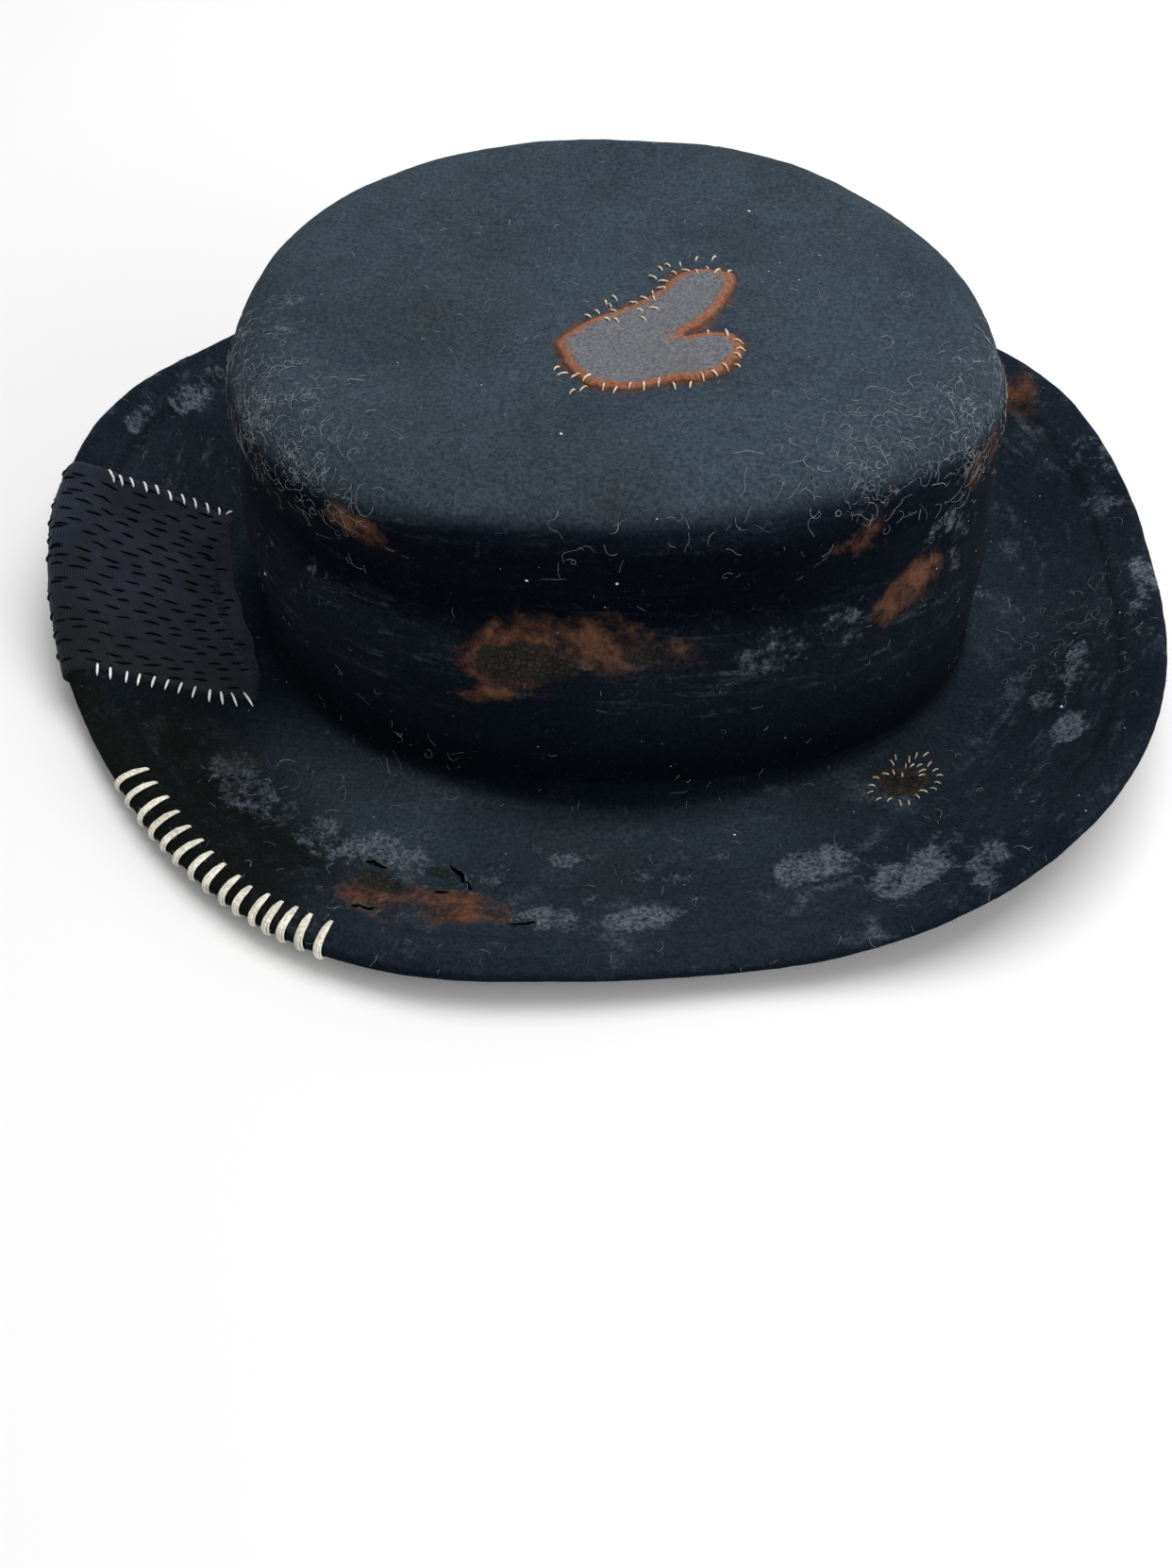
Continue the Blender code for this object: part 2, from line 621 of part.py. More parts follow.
def build_side_patch():
    cols = 10
    steps = (51, 45, 38, 31, 24, 18, 12, 8, 4, 2, 0, -2, -4, -8, -14, -20)
    under, over = [], []
    for step in steps:
        row_under, row_over = [], []
        for c in range(cols):
            p = c / (cols - 1)
            t = patch_angle(p, step)
            e = step * (1 + PATCH_BULGE / PATCH_DEPTH * math.sin(math.pi * p)) if step > 0 else step
            row_under.append(on_brim(t, e * MM, PATCH_LIFT))
            row_over.append(on_brim(t, e * MM, PATCH_LIFT + PATCH_THICK))
        under.append(row_under)
        over.append(row_over)
    sheet_solid("side_patch", under, over, NAVY_COLOUR, 0.85)

    low = 1.95 * MM
    high = PATCH_LIFT + PATCH_THICK + GAP + THREAD_RADIUS + 0.1 * MM
    for name, p_edge, out in (("side_patch_thread_rear", 0.0, -1), ("side_patch_thread_front", 1.0, 1)):
        path = []
        for k in range(PATCH_STITCHES):
            for f, side, lift in ((0.0, 1.0, low), (0.3, 1.0, low), (0.5, -1.0, high), (0.8, -1.0, high)):
                e = 7.0 + (PATCH_DEPTH - 10.0) * (k + f) / PATCH_STITCHES
                t0 = patch_angle(p_edge, e)
                x0, y0, _ = on_brim(t0, e * MM, 0.0)
                x1, y1, _ = on_brim(t0 + out * 0.02, e * MM, 0.0)
                per = 0.02 / math.hypot(x1 - x0, y1 - y0)
                across = (2.3 * MM if side > 0 else -1.8 * MM)
                path.append(on_brim(t0 + out * per * across, e * MM, lift))
        tube(name, path, THREAD_RADIUS, 5, WHITE_THREAD, 0.8)

    path = []
    rows = 5
    for r in range(rows):
        e = 10.0 + 8.2 * r
        span = (0.14, 0.36, 0.64, 0.86)
        for p in (span if r % 2 == 0 else span[::-1]):
            path.append(on_brim(patch_angle(p, e), e * MM, high))
    tube("side_patch_quilting_thread", path, THREAD_RADIUS, 5, BLACK_THREAD, 0.8)


# ---- lacing over the edge -----------------------------------------------
def build_lacing():
    lift = GAP + LACING_RADIUS + 0.35 * MM
    base = []
    for k in range(LACING_LOOPS):
        t = math.radians(LACING_START + (LACING_END - LACING_START) * k / (LACING_LOOPS - 1))
        base.append(t)
    run = [on_brim(t, -LACING_REACH_UNDER * MM, lift) for t in base]
    spine = tube("edge_lacing", run, LACING_RADIUS, 6, CREAM_COLOUR, 0.85)
    loops = []
    for k, t in enumerate(base):
        es = (LACING_REACH_TOP, 7.0, 3.0, 1.2, -1.2, -3.0, -7.0, -LACING_REACH_UNDER)
        path = [on_brim(t, e * MM, lift) for e in es]
        loops.append(tube("lacing_loop_%02d" % k, path, LACING_RADIUS, 6, CREAM_COLOUR, 0.85))
    join_by_union(spine, loops)


FELT_COLOUR = (0.012, 0.018, 0.024)
PATCH_GREY = (0.16, 0.19, 0.22)
RUST_COLOUR = (0.14, 0.055, 0.032)
NAVY_COLOUR = (0.012, 0.014, 0.028)
THREAD_COLOUR = (0.62, 0.47, 0.32)
WHITE_THREAD = (0.78, 0.78, 0.75)
BLACK_THREAD = (0.01, 0.01, 0.012)
CREAM_COLOUR = (0.72, 0.70, 0.60)
LEATHER_COLOUR = (0.11, 0.05, 0.022)
RIBBON_COLOUR = (0.02, 0.02, 0.022)
SATIN_COLOUR = (0.05, 0.045, 0.05)

for old in list(bpy.data.objects):
    bpy.data.objects.remove(old, do_unlink=True)

ROOT = bpy.data.objects.new("hat", None)
bpy.context.collection.objects.link(ROOT)
ROOT.location = OFFSET

build_felt()
build_sweatband()
build_bow()
build_lining()
build_heart()
build_darn()
build_side_patch()
build_lacing()
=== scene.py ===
"""The finished look of the felt hat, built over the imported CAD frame.

Shapes repeat the CAD model's own rules (crown oval, rounded top edge, flanged brim) at a finer
step, with the hand shaping, wear, mending and threads added as geometry and node materials.
"""
import math

import bmesh
import bpy
import numpy as np
from mathutils import Matrix, Vector


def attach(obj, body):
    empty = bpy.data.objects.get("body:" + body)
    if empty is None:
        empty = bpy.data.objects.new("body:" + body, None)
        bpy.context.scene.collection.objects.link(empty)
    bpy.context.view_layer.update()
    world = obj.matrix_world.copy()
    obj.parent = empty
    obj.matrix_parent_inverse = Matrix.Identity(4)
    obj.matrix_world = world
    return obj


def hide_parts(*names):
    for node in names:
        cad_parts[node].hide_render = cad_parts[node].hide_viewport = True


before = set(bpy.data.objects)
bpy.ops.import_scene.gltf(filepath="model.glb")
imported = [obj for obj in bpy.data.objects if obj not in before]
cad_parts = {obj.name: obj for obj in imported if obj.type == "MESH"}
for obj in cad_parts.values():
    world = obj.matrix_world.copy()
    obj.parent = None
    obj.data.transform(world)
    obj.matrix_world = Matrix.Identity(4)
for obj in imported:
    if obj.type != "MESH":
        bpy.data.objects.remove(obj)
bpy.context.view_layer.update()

MM = 0.001
OFFSET = (2.45 * MM, -6.5 * MM, 0.0)            # puts the middle of the hat's plan at the origin

# ---- driving dimensions -------------------------------------------------
CROWN_HALF_LENGTH = 103.2 * MM      # outside of the crown at the brim, front to back
CROWN_HALF_WIDTH = 90.3 * MM
CROWN_OVAL_POWER = 2.14             # 2 is an ellipse, more is squarer
CROWN_OVAL_WOBBLE = ((2, -0.0091, -0.0115), (3, 0.0122, -0.0229), (4, 0.0010, -0.0124))
CROWN_HEIGHT = 101.4 * MM           # resting plane to the flat top, outside
CROWN_EDGE_RADIUS = 16.7 * MM
CROWN_TAPER = 1.1 * MM              # how far the wall leans in at the top
CROWN_TOP_RISE_X = 1.8 * MM         # tilt of the flat top along the length
CROWN_TOP_RISE_Y = -0.9 * MM
CROWN_TOP_SHIFT = (-1.2 * MM, 0.2 * MM)
FELT = 3.0 * MM                     # felt thickness of crown and brim
RIM_FELT = 4.4 * MM                 # thickness of the welted brim edge
WELT_WIDTH = 10.5 * MM
BREAK_RADIUS = 4.0 * MM             # bend between wall and brim, outside
BRIM_WIDTH = 62.2 * MM
BRIM_WIDTH_WOBBLE = ((1, -0.3, 3.1), (2, -3.6, -0.4), (3, -1.7, -0.8), (4, 1.3, 0.0), (5, -2.9, 1.5), (6, -0.5, 0.7))
BRIM_FLAT = 12.0 * MM               # flat ring round the head opening
BRIM_BLEND = 0.42                   # share of the brim over which the flange bends up
BRIM_ANGLE = 13.3                   # mean rise of the flange, degrees
BRIM_ANGLE_WAVES = ((1, 0.7, 4.0), (2, 6.8, -5.1), (3, -2.0, 1.2), (4, 1.5, -1.1), (5, -3.0, -1.6))
BRIM_ANGLE_LEAST = 4.4
BRIM_ROLL = 1.1 * MM                # droop of the very edge
GROOVE_DEPTH = 4.6 * MM             # hand-pressed groove under the top edge
GROOVE_HEIGHT = 72.0 * MM
GROOVE_SPREAD = 11.0 * MM
BULGE_DEPTH = 2.0 * MM
BULGE_HEIGHT = 46.0 * MM
BULGE_SPREAD = 17.0 * MM
GAP = 0.3 * MM

ANGLES = 48                         # facets round the hat

SWEATBAND_HEIGHT = 36.0 * MM
SWEATBAND_FOOT = 4.6 * MM
SWEATBAND_LEATHER = 1.2 * MM
REED_RADIUS = 1.1 * MM
REED_HEIGHT = 2.3 * MM
LINING = 0.6 * MM
LINING_FOOT = 26.0 * MM             # lower edge, tucked behind the sweatband
LINING_GAP = 0.35 * MM
BOW_ANGLE = 0.0                     # the bow sits at the back of the hat, at +X

HEART_CENTRE = (9.5 * MM, -17.0 * MM)
HEART_POINTS = (                    # control points round the outline, from the left lobe
    (-21.0, -8.2), (-17.4, -17.5), (-11.4, -25.7), (-1.0, -26.9), (9.8, -23.4), (18.3, -20.8),
    (24.2, -13.7), (25.5, -6.7), (22.9, -1.1), (16.3, -0.7), (11.2, -2.7), (16.9, 4.5),
    (21.2, 15.1), (22.5, 24.6), (19.1, 28.0), (12.2, 28.5), (6.5, 24.9), (2.8, 18.3),
    (-1.9, 12.3), (-8.2, 7.1), (-14.3, 2.4), (-19.4, -3.9))
HEART_FELT = 0.6 * MM
HEART_STITCHES = 34
THREAD_RADIUS = 0.42 * MM

DARN_ANGLE = 316.0
DARN_IN = 55.2                      # mm in from the brim edge
DARN_LIFT = 0.55 * MM
DARN_HALF = (5.4 * MM, 4.2 * MM)
DARN_THICK = 0.5 * MM

PATCH_REAR = 179.3                  # angle of the patch's rear end at the brim edge, degrees
PATCH_REAR_SLANT = -0.133           # degrees per mm in from the edge
PATCH_FRONT = 205.5
PATCH_FRONT_SLANT = 0.0045          # degrees per mm squared in from the edge
PATCH_DEPTH = 51.0                  # mm in from the edge on the top side, at the two ends
PATCH_BULGE = 7.5                   # mm more at the middle, so that the inner edge runs straight
PATCH_UNDER = 20.0                  # mm folded under
PATCH_THICK = 0.8 * MM
PATCH_LIFT = 0.65 * MM
PATCH_STITCHES = 12

LACING_LOOPS = 15
LACING_START = 220.0                # degrees
LACING_END = 248.6
LACING_REACH_TOP = 11.6             # mm in from the edge
LACING_REACH_UNDER = 10.5
LACING_RADIUS = 1.3 * MM


def waves(t, base, terms, unit=1.0):
    return base + unit * sum(c * math.cos(k * t) + s * math.sin(k * t) for k, c, s in terms)


def power_cos(v, p):
    return math.copysign(abs(v) ** p, v)


def plan(t, inset=0.0):
    p = 2.0 / CROWN_OVAL_POWER
    m = waves(t, 1.0, CROWN_OVAL_WOBBLE)
    x = (CROWN_HALF_LENGTH - inset) * power_cos(math.cos(t), p) * m
    y = (CROWN_HALF_WIDTH - inset) * power_cos(math.sin(t), p) * m
    return x, y


def plan_normal(t):
    h = 0.02
    x0, y0 = plan(t - h)
    x1, y1 = plan(t + h)
    dx, dy = x1 - x0, y1 - y0
    n = math.hypot(dx, dy)
    return dy / n, -dx / n


def top_height(x, y):
    return CROWN_HEIGHT + CROWN_TOP_RISE_X * x / CROWN_HALF_LENGTH + CROWN_TOP_RISE_Y * y / CROWN_HALF_WIDTH


def front_weight(t):
    """1 on the front left of the crown, nothing behind."""
    return max(0.0, math.cos(t - math.radians(252.0))) ** 1.4


def wall_press(t, z):
    g = math.exp(-((z - GROOVE_HEIGHT) / GROOVE_SPREAD) ** 2)
    b = math.exp(-((z - BULGE_HEIGHT) / BULGE_SPREAD) ** 2)
    return BULGE_DEPTH * (0.75 + 0.25 * math.cos(t - math.radians(230.0))) * b - GROOVE_DEPTH * front_weight(t) * g


def outer_profile(t, n_edge=6, n_wall=9, n_bend=4, n_brim=9):
    """(distance out from the crown oval, height) from the rim of the flat top to the brim edge."""
    pts = []
    bx, by = plan(t)
    r = CROWN_EDGE_RADIUS
    lean = CROWN_TAPER
    nx, ny = plan_normal(t)
    for i in range(n_edge):
        a = math.pi / 2 * (1 - i / n_edge)
        d = -lean - r * (1 - math.cos(a))
        h = top_height(bx + nx * d, by + ny * d)
        pts.append((d, h - r + r * math.sin(a)))
    z1 = top_height(bx - nx * lean, by - ny * lean) - r
    z0 = FELT + BREAK_RADIUS
    for i in range(n_wall + 1):
        s = i / n_wall
        z = z1 + (z0 - z1) * s
        pts.append((-lean * (1 - s) + wall_press(t, z) * math.sin(math.pi * min(1, s * 1.0)) ** 0.5, z))
    for i in range(1, n_bend + 1):
        a = math.pi / 2 * i / n_bend
        pts.append((BREAK_RADIUS * (1 - math.cos(a)), FELT + BREAK_RADIUS * (1 - math.sin(a))))
    w = waves(t, BRIM_WIDTH, BRIM_WIDTH_WOBBLE, MM)
    al = math.radians(brim_angle(t))
    reach = w * math.cos(al)
    rise = w * math.sin(al)
    pts.append((BRIM_FLAT, FELT))
    for i in range(1, n_brim + 1):
        v = i / n_brim
        d = BRIM_FLAT + (reach - BRIM_FLAT) * v
        pts.append((d, FELT + brim_lift(v, rise)))
    return pts


def brim_angle(t):
    """Rise of the flange in degrees, never quite down to the resting plane."""
    a = waves(t, BRIM_ANGLE, BRIM_ANGLE_WAVES)
    return BRIM_ANGLE_LEAST + 1.2 * math.log(1 + math.exp((a - BRIM_ANGLE_LEAST) / 1.2))


def brim_lift(v, rise):
    s = v * v / (2 * BRIM_BLEND) if v < BRIM_BLEND else v - BRIM_BLEND / 2
    roll = BRIM_ROLL * (max(0.0, v - 0.88) / 0.12) ** 2
    return (rise + BRIM_ROLL) * s / (1 - BRIM_BLEND / 2) - roll


def wrap_path(t, n_brim=20, n_rim=8):
    """The brim's skin at angle t as (distance out, height, slope normal): top side from the
    flat ring to the edge, round the edge, and back along the underside."""
    top = outer_profile(t, 1, 1, 1, n_brim)[-n_brim - 2:]
    return skin(t, top, n_rim)


def skin(t, top, n_rim):
    run = [0.0]
    for a, b in zip(top, top[1:]):
        run.append(run[-1] + math.hypot(b[0] - a[0], b[1] - a[1]))
    normals = profile_normals(top)
    upper, lower = [], []
    for (d, z), (nd, nz), s in zip(top, normals, run):
        e = run[-1] - s
        if d < BRIM_FLAT - 1e-6:
            k = 0.0
        else:
            k = min(1.0, max(0.0, (WELT_WIDTH + 0.8 * MM - e) / (1.2 * MM)))
            k = k * k * (3 - 2 * k)
        grow = (RIM_FELT - FELT) / 2 * k
        upper.append((d + nd * grow, z + nz * grow, nd, nz))
        deep = FELT + grow
        lower.append((d - nd * deep, z - nz * deep, -nd, -nz))
    cd = (upper[-1][0] + lower[-1][0]) / 2
    cz = (upper[-1][1] + lower[-1][1]) / 2
    nd, nz = normals[-1]
    rim = []
    for i in range(1, n_rim):
        a = math.pi * i / n_rim
        ud = nd * math.cos(a) + nz * math.sin(a)
        uz = nz * math.cos(a) - nd * math.sin(a)
        rim.append((cd + ud * RIM_FELT / 2, cz + uz * RIM_FELT / 2, ud, uz))
    return upper, rim, lower


def profile_normals(pts):
    out = []
    for i in range(len(pts)):
        a = pts[max(0, i - 1)]
        b = pts[min(len(pts) - 1, i + 1)]
        dd, dz = b[0] - a[0], b[1] - a[1]
        n = math.hypot(dd, dz)
        out.append((-dz / n, dd / n))
    return out


def place(t, d, z):
    """From (angle, distance out from the oval, height) to x, y, z."""
    x, y = plan(t)
    nx, ny = plan_normal(t)
    k = min(1.0, max(0.0, z / CROWN_HEIGHT)) if d < 10 * MM else 0.0
    return (x + nx * d + CROWN_TOP_SHIFT[0] * k, y + ny * d + CROWN_TOP_SHIFT[1] * k, z)


def on_brim(t, e, lift):
    """Point at a skin distance e in from the brim edge (negative runs under the brim)."""
    upper, rim, lower = wrap_path(t)
    path = upper + rim + lower[::-1]
    run = [0.0]
    for a, b in zip(path, path[1:]):
        run.append(run[-1] + math.hypot(b[0] - a[0], b[1] - a[1]))
    edge = run[len(upper) - 1 + (len(rim) + 1) // 2]
    s = min(max(edge - e, 0.0), run[-1] - 1e-9)
    i = 0
    while run[i + 1] < s:
        i += 1
    f = (s - run[i]) / (run[i + 1] - run[i])
    a, b = path[i], path[i + 1]
    d, z, nd, nz = (p + (q - p) * f for p, q in zip(a, b))
    n = math.hypot(nd, nz)
    return place(t, d + nd / n * lift, z + nz / n * lift)


MARKS = (    # kind, strength, middle, half length and half width as vectors, all in mm
    ('abr', 0.78, (-91.0, -93.8, 4.5), (12.3, -11.5, 0.1), (-3.2, -8.8, 1.3)),
    ('abr', 0.60, (-68.6, -108.1, 4.3), (14.4, -10.0, 0.3), (-2.0, -7.9, 1.1)),
    ('abr', 0.80, (-47.5, -113.9, 4.1), (15.2, -3.7, 0.1), (0.2, -7.0, 0.9)),
    ('abr', 0.60, (-24.6, -118.3, 4.4), (11.4, -0.3, 0.0), (0.7, -5.6, 0.9)),
    ('abr', 1.00, (-3.0, -132.1, 7.5), (9.0, 0.9, -0.1), (1.2, -5.6, 1.3)),
    ('abr', 1.00, (20.6, -130.3, 7.3), (9.7, 1.1, -0.1), (0.6, -4.8, 1.0)),
    ('abr', 0.90, (-0.9, -111.1, 3.5), (4.9, 0.5, -0.0), (0.9, -2.6, 0.3)),
    ('abr', 0.50, (7.2, -125.8, 6.2), (5.2, 0.6, -0.1), (0.5, -3.4, 0.8)),
    ('abr', 1.00, (62.7, -109.0, 5.5), (10.5, 3.0, 0.6), (0.8, -8.1, 1.8)),
    ('abr', 1.00, (86.4, -114.2, 11.6), (10.5, 6.2, 1.5), (1.8, -11.8, 4.2)),
    ('abr', 0.70, (104.1, -113.9, 18.6), (5.7, 3.7, 1.4), (2.1, -9.3, 3.7)),
    ('abr', 0.50, (116.9, -86.6, 15.2), (5.2, 7.7, 0.0), (2.4, -7.3, 3.8)),
    ('abr', 1.00, (129.0, -60.1, 13.6), (5.3, 2.6, 2.6), (1.1, -9.3, 3.4)),
    ('abr', 0.70, (134.3, -33.3, 10.9), (2.7, -3.6, 2.4), (-3.2, -11.8, -0.3)),
    ('abr', 0.80, (154.3, -7.0, 20.7), (5.0, 1.8, -0.1), (-0.5, -13.2, 1.0)),
    ('abr', 0.50, (153.5, 39.8, 18.1), (8.2, 16.8, -12.6), (-6.0, -27.0, 12.4)),
    ('abr', 0.90, (-140.7, 48.4, 22.6), (4.7, 11.6, -1.5), (2.9, -2.1, -3.1)),
    ('abr', 0.60, (-149.1, 33.1, 27.8), (2.1, 8.9, -0.9), (2.4, -1.3, -2.0)),
    ('abr', 0.60, (-135.3, 63.1, 21.7), (4.5, 6.6, -1.6), (1.6, -3.0, -2.0)),
    ('abr', 0.35, (145.5, 52.9, 19.3), (4.9, 5.8, 0.8), (6.3, -13.6, -0.4)),
    ('abr', 0.50, (95.3, -100.5, 10.5), (11.0, 4.4, 2.4), (0.8, -5.6, 2.1)),
    ('abr', 0.40, (123.9, -44.9, 6.5), (4.5, 0.8, 2.2), (0.6, -5.3, 1.2)),
    ('abr', 0.35, (37.7, -105.1, 3.4), (7.2, 0.7, 0.1), (0.2, -2.7, 0.3)),
    ('abr', 0.30, (24.0, -114.8, 4.3), (14.2, 1.2, 0.1), (0.4, -3.4, 0.6)),
    ('abr', 0.70, (109.9, 4.6, 3.0), (3.9, 0.3, -0.0), (-0.4, -9.3, 0.0)),
    ('abr', 0.30, (-83.4, -15.1, 100.1), (2.5, 10.2, -0.1), (5.5, -5.8, 0.2)),
    ('abr', 0.45, (66.4, -72.1, 55.6), (7.9, 4.7, 2.7), (3.1, 0.5, -6.5)),
    ('abr', 0.25, (-70.1, -72.5, 52.0), (9.4, -6.2, 6.6), (-2.3, -0.9, -19.0)),
    ('abr', 0.35, (-2.5, -89.5, 54.6), (30.3, 1.4, 1.6), (0.0, -1.0, -4.9)),
    ('abr', 0.35, (48.1, -80.4, 53.9), (13.6, 4.7, 0.0), (1.6, -0.6, -7.4)),
    ('abr', 0.30, (90.5, -50.2, 71.0), (7.5, 9.0, -8.4), (0.1, -0.9, -14.2)),
    ('rust', 1.00, (-14.6, -89.8, 53.6), (15.7, -0.2, 1.7), (-0.1, -2.0, -10.9)),
    ('rust', 0.85, (6.4, -88.3, 57.5), (13.8, 0.8, -1.2), (-0.3, -2.1, -7.8)),
    ('rust', 0.45, (23.8, -86.4, 56.0), (10.5, 1.8, -0.8), (0.3, -1.3, -5.8)),
    ('rust', 0.90, (-21.7, -90.1, 42.0), (8.4, -0.8, 1.6), (-0.1, 0.1, -2.9)),
    ('rust', 0.95, (80.9, -61.3, 61.4), (7.9, 7.9, 6.1), (4.0, 2.2, -5.4)),
    ('rust', 0.70, (74.6, -67.3, 55.0), (4.1, 3.2, 2.4), (2.5, 1.0, -4.2)),
    ('rust', 0.80, (-54.3, -79.7, 85.0), (9.4, -4.4, -0.5), (0.7, -1.6, -4.2)),
    ('rust', 0.45, (66.9, -70.0, 83.0), (8.7, 4.7, 0.0), (0.8, -1.6, -6.5)),
    ('rust', 0.45, (102.9, -1.0, 59.5), (9.1, 39.7, -17.1), (0.4, 0.0, -4.2)),
    ('rust', 0.80, (124.4, 81.4, 18.4), (6.3, -5.3, 1.1), (-2.2, -7.1, -3.5)),
    ('rust', 0.95, (-46.6, -129.8, 6.6), (11.7, -0.1, -0.1), (1.3, -8.9, 1.5)),
    ('rust', 0.85, (-29.6, -130.8, 6.8), (11.6, 1.2, -0.1), (1.3, -6.9, 1.4)),
    ('rust', 0.60, (-18.3, -132.3, 7.3), (7.6, 0.9, -0.1), (0.8, -4.9, 1.1)),
    ('rust', 0.35, (-89.5, 15.6, 99.7), (1.7, 7.4, -0.0), (3.7, -4.1, 0.1)),
    ('rust', 0.25, (74.3, -59.8, 103.3), (6.2, 4.1, 0.1), (0.8, -4.0, 0.1)),
    ('char', 1.00, (-12.3, -90.0, 52.0), (14.3, -0.2, 1.2), (-0.2, -1.0, -8.0)),
    ('char', 0.70, (18.2, -87.5, 54.8), (10.1, 1.2, -1.6), (-0.2, -0.7, -3.1)),
    ('char', 0.50, (79.6, -62.9, 58.9), (2.5, 2.4, 2.4), (4.2, 2.3, -5.6)),
    ('char', 0.90, (-46.5, -124.6, 5.7), (8.4, -1.1, 0.0), (0.6, -5.6, 0.9)),
    ('char', 0.70, (-31.8, -119.1, 4.6), (5.9, -0.7, 0.1), (-0.3, -2.5, 0.4)),
    ('char', 0.50, (123.1, 78.0, 16.4), (3.6, -3.2, 0.7), (-0.8, -2.2, -1.2)),
    # the two green marks: greenish painted shade on the left front brim
    ('green_shade', 0.60, (-122.4, -86.3, 8.0), (1.6, 16.8, -1.4), (15.6, -7.7, -1.4)),
    ('green_shade', 0.40, (-107.6, -93.7, 6.3), (4.5, 18.9, -3.0), (14.8, -11.2, -0.7)),
    ('char', 0.55, (-94.0, -88.0, 4.6), (13.0, -14.0, 0.1), (-4.2, -9.8, 1.3)),
    ('char', 0.45, (-72.0, -106.0, 4.3), (12.0, -8.0, 0.3), (-2.0, -6.0, 1.1)),
    ('rust', 0.55, (92.0, -38.0, 86.0), (5.0, 10.0, 0.0), (1.0, -1.0, -7.0)),
)

CUTS = (    # small cuts in the brim: two ends in mm, and depth
    ((-30.1, -115.5), (-24.0, -124.3), 1.6),
    ((-52.4, -117.8), (-46.1, -118.9), 0.9),
    ((-52.8, -134.4), (-45.8, -133.5), 0.7),
    ((-32.8, -126.5), (-29.0, -125.9), 0.6),
    ((-12.1, -136.0), (-5.7, -135.0), 0.6),
)
HEART_SEWN = (     # x, y in mm, and 1 where they lie along the border
    (21.2, 16.6, 0), (25.7, 17.3, 0), (17.0, 13.6, 0), (13.7, 13.0, 0), (11.9, 11.2, 0), (15.7, 9.3, 0), (18.6, 10.4, 0),
    (21.6, 8.8, 0), (24.1, 11.8, 0), (27.0, 9.8, 0), (30.1, 10.4, 0), (10.2, 6.9, 0), (13.2, 5.0, 0), (12.8, 1.7, 0),
    (10.8, -0.3, 1), (11.3, -3.7, 1), (8.7, -3.0, 1), (6.2, -5.5, 1), (1.2, -3.4, 1), (-0.8, -5.8, 1), (0.4, -7.2, 1),
    (-2.6, -10.4, 1), (-4.8, -12.4, 1), (1.4, -9.8, 1), (0.3, -14.7, 1), (2.7, -14.9, 1), (8.2, -9.8, 1), (11.7, -8.8, 1),
    (9.5, -13.8, 1), (26.0, -18.1, 0), (30.5, -17.1, 0), (30.9, -19.0, 0), (33.8, -21.7, 0), (34.5, -25.1, 0), (33.7, -28.0, 0),
    (34.0, -32.0, 0), (31.1, -33.3, 0), (28.5, -36.1, 0), (25.8, -37.8, 0), (23.1, -40.7, 0), (19.2, -41.5, 0), (15.4, -40.5, 0),
    (11.9, -42.4, 0), (8.6, -42.6, 0), (5.1, -44.1, 0), (2.2, -43.4, 0), (-2.7, -44.0, 0), (-5.2, -45.5, 0), (-2.1, -40.1, 0),
    (-5.1, -39.1, 0), (-8.3, -38.2, 0), (-10.1, -35.8, 0),
)
DARN_MIDDLE = (86.0, -75.2)
DARN_HALF_X = 7.0
DARN_HALF_Y = 5.6
DARN_STITCHES = ((79.2, -74.5), (78.0, -77.4), (77.7, -79.8), (79.8, -82.2), (82.7, -82.2), (85.4, -83.2), (87.7, -83.2),
    (89.9, -80.9), (91.6, -78.8), (94.3, -77.8), (95.5, -75.4), (96.2, -72.4), (95.2, -70.2), (93.7, -67.9), (92.8, -64.5),
    (90.2, -65.1), (88.2, -66.8), (84.5, -66.3), (83.5, -68.5), (87.2, -69.3), (89.0, -69.1), (91.0, -68.8), (91.7, -70.7),
    (91.5, -72.5), (81.8, -72.9), (83.9, -72.1), (86.2, -72.8))
ROW_REAR = (    # angle, mm in from the edge, lean in degrees, length in mm
    (178.4, 13.0, -30, 3.6), (178.0, 16.2, -28, 3.6), (177.4, 19.5, -30, 3.4), (176.8, 23.7, -26, 3.6), (176.2, 27.3, -26, 3.8),
    (175.7, 31.3, -26, 3.7), (174.8, 35.3, -26, 3.8), (174.1, 39.0, -24, 3.8), (173.6, 43.0, -22, 4.0), (173.1, 46.7, -18, 3.4), (172.4, 49.6, 40, 2.4))
ROW_FRONT = (
    (206.0, 9.8, -12, 4.0), (206.6, 13.0, -14, 4.0), (207.0, 17.3, -8, 4.0), (207.5, 20.3, -4, 4.2), (208.0, 24.0, -2, 4.4), (208.7, 27.3, 2, 4.0),
    (209.6, 30.4, 0, 4.4), (210.8, 33.5, -2, 4.8), (212.1, 37.0, -10, 5.0), (213.2, 39.7, -20, 5.2), (214.2, 42.5, -30, 5.8), (215.1, 46.0, -38, 6.4))
LACE_IN = ((221.4, 11.1), (223.6, 10.9), (226.0, 11.1), (228.3, 10.8), (230.6, 10.4), (232.8, 10.2), (234.6, 9.5), (236.5, 9.2),
    (238.5, 9.1), (240.1, 8.5), (242.0, 9.3), (243.5, 9.3), (245.0, 9.8), (246.5, 9.8), (248.5, 10.2))
LACE_OUT = ((221.3, 1.5), (223.8, 2.0), (226.5, 1.3), (228.5, 0.9), (230.4, 0.9), (232.4, 0.3), (234.7, 0.4), (236.7, 0.2),
    (238.7, 0.2), (240.4, 0.3), (242.2, 0.2), (243.7, 0.2), (245.2, 0.2), (247.1, 0.3), (248.9, 0.3))
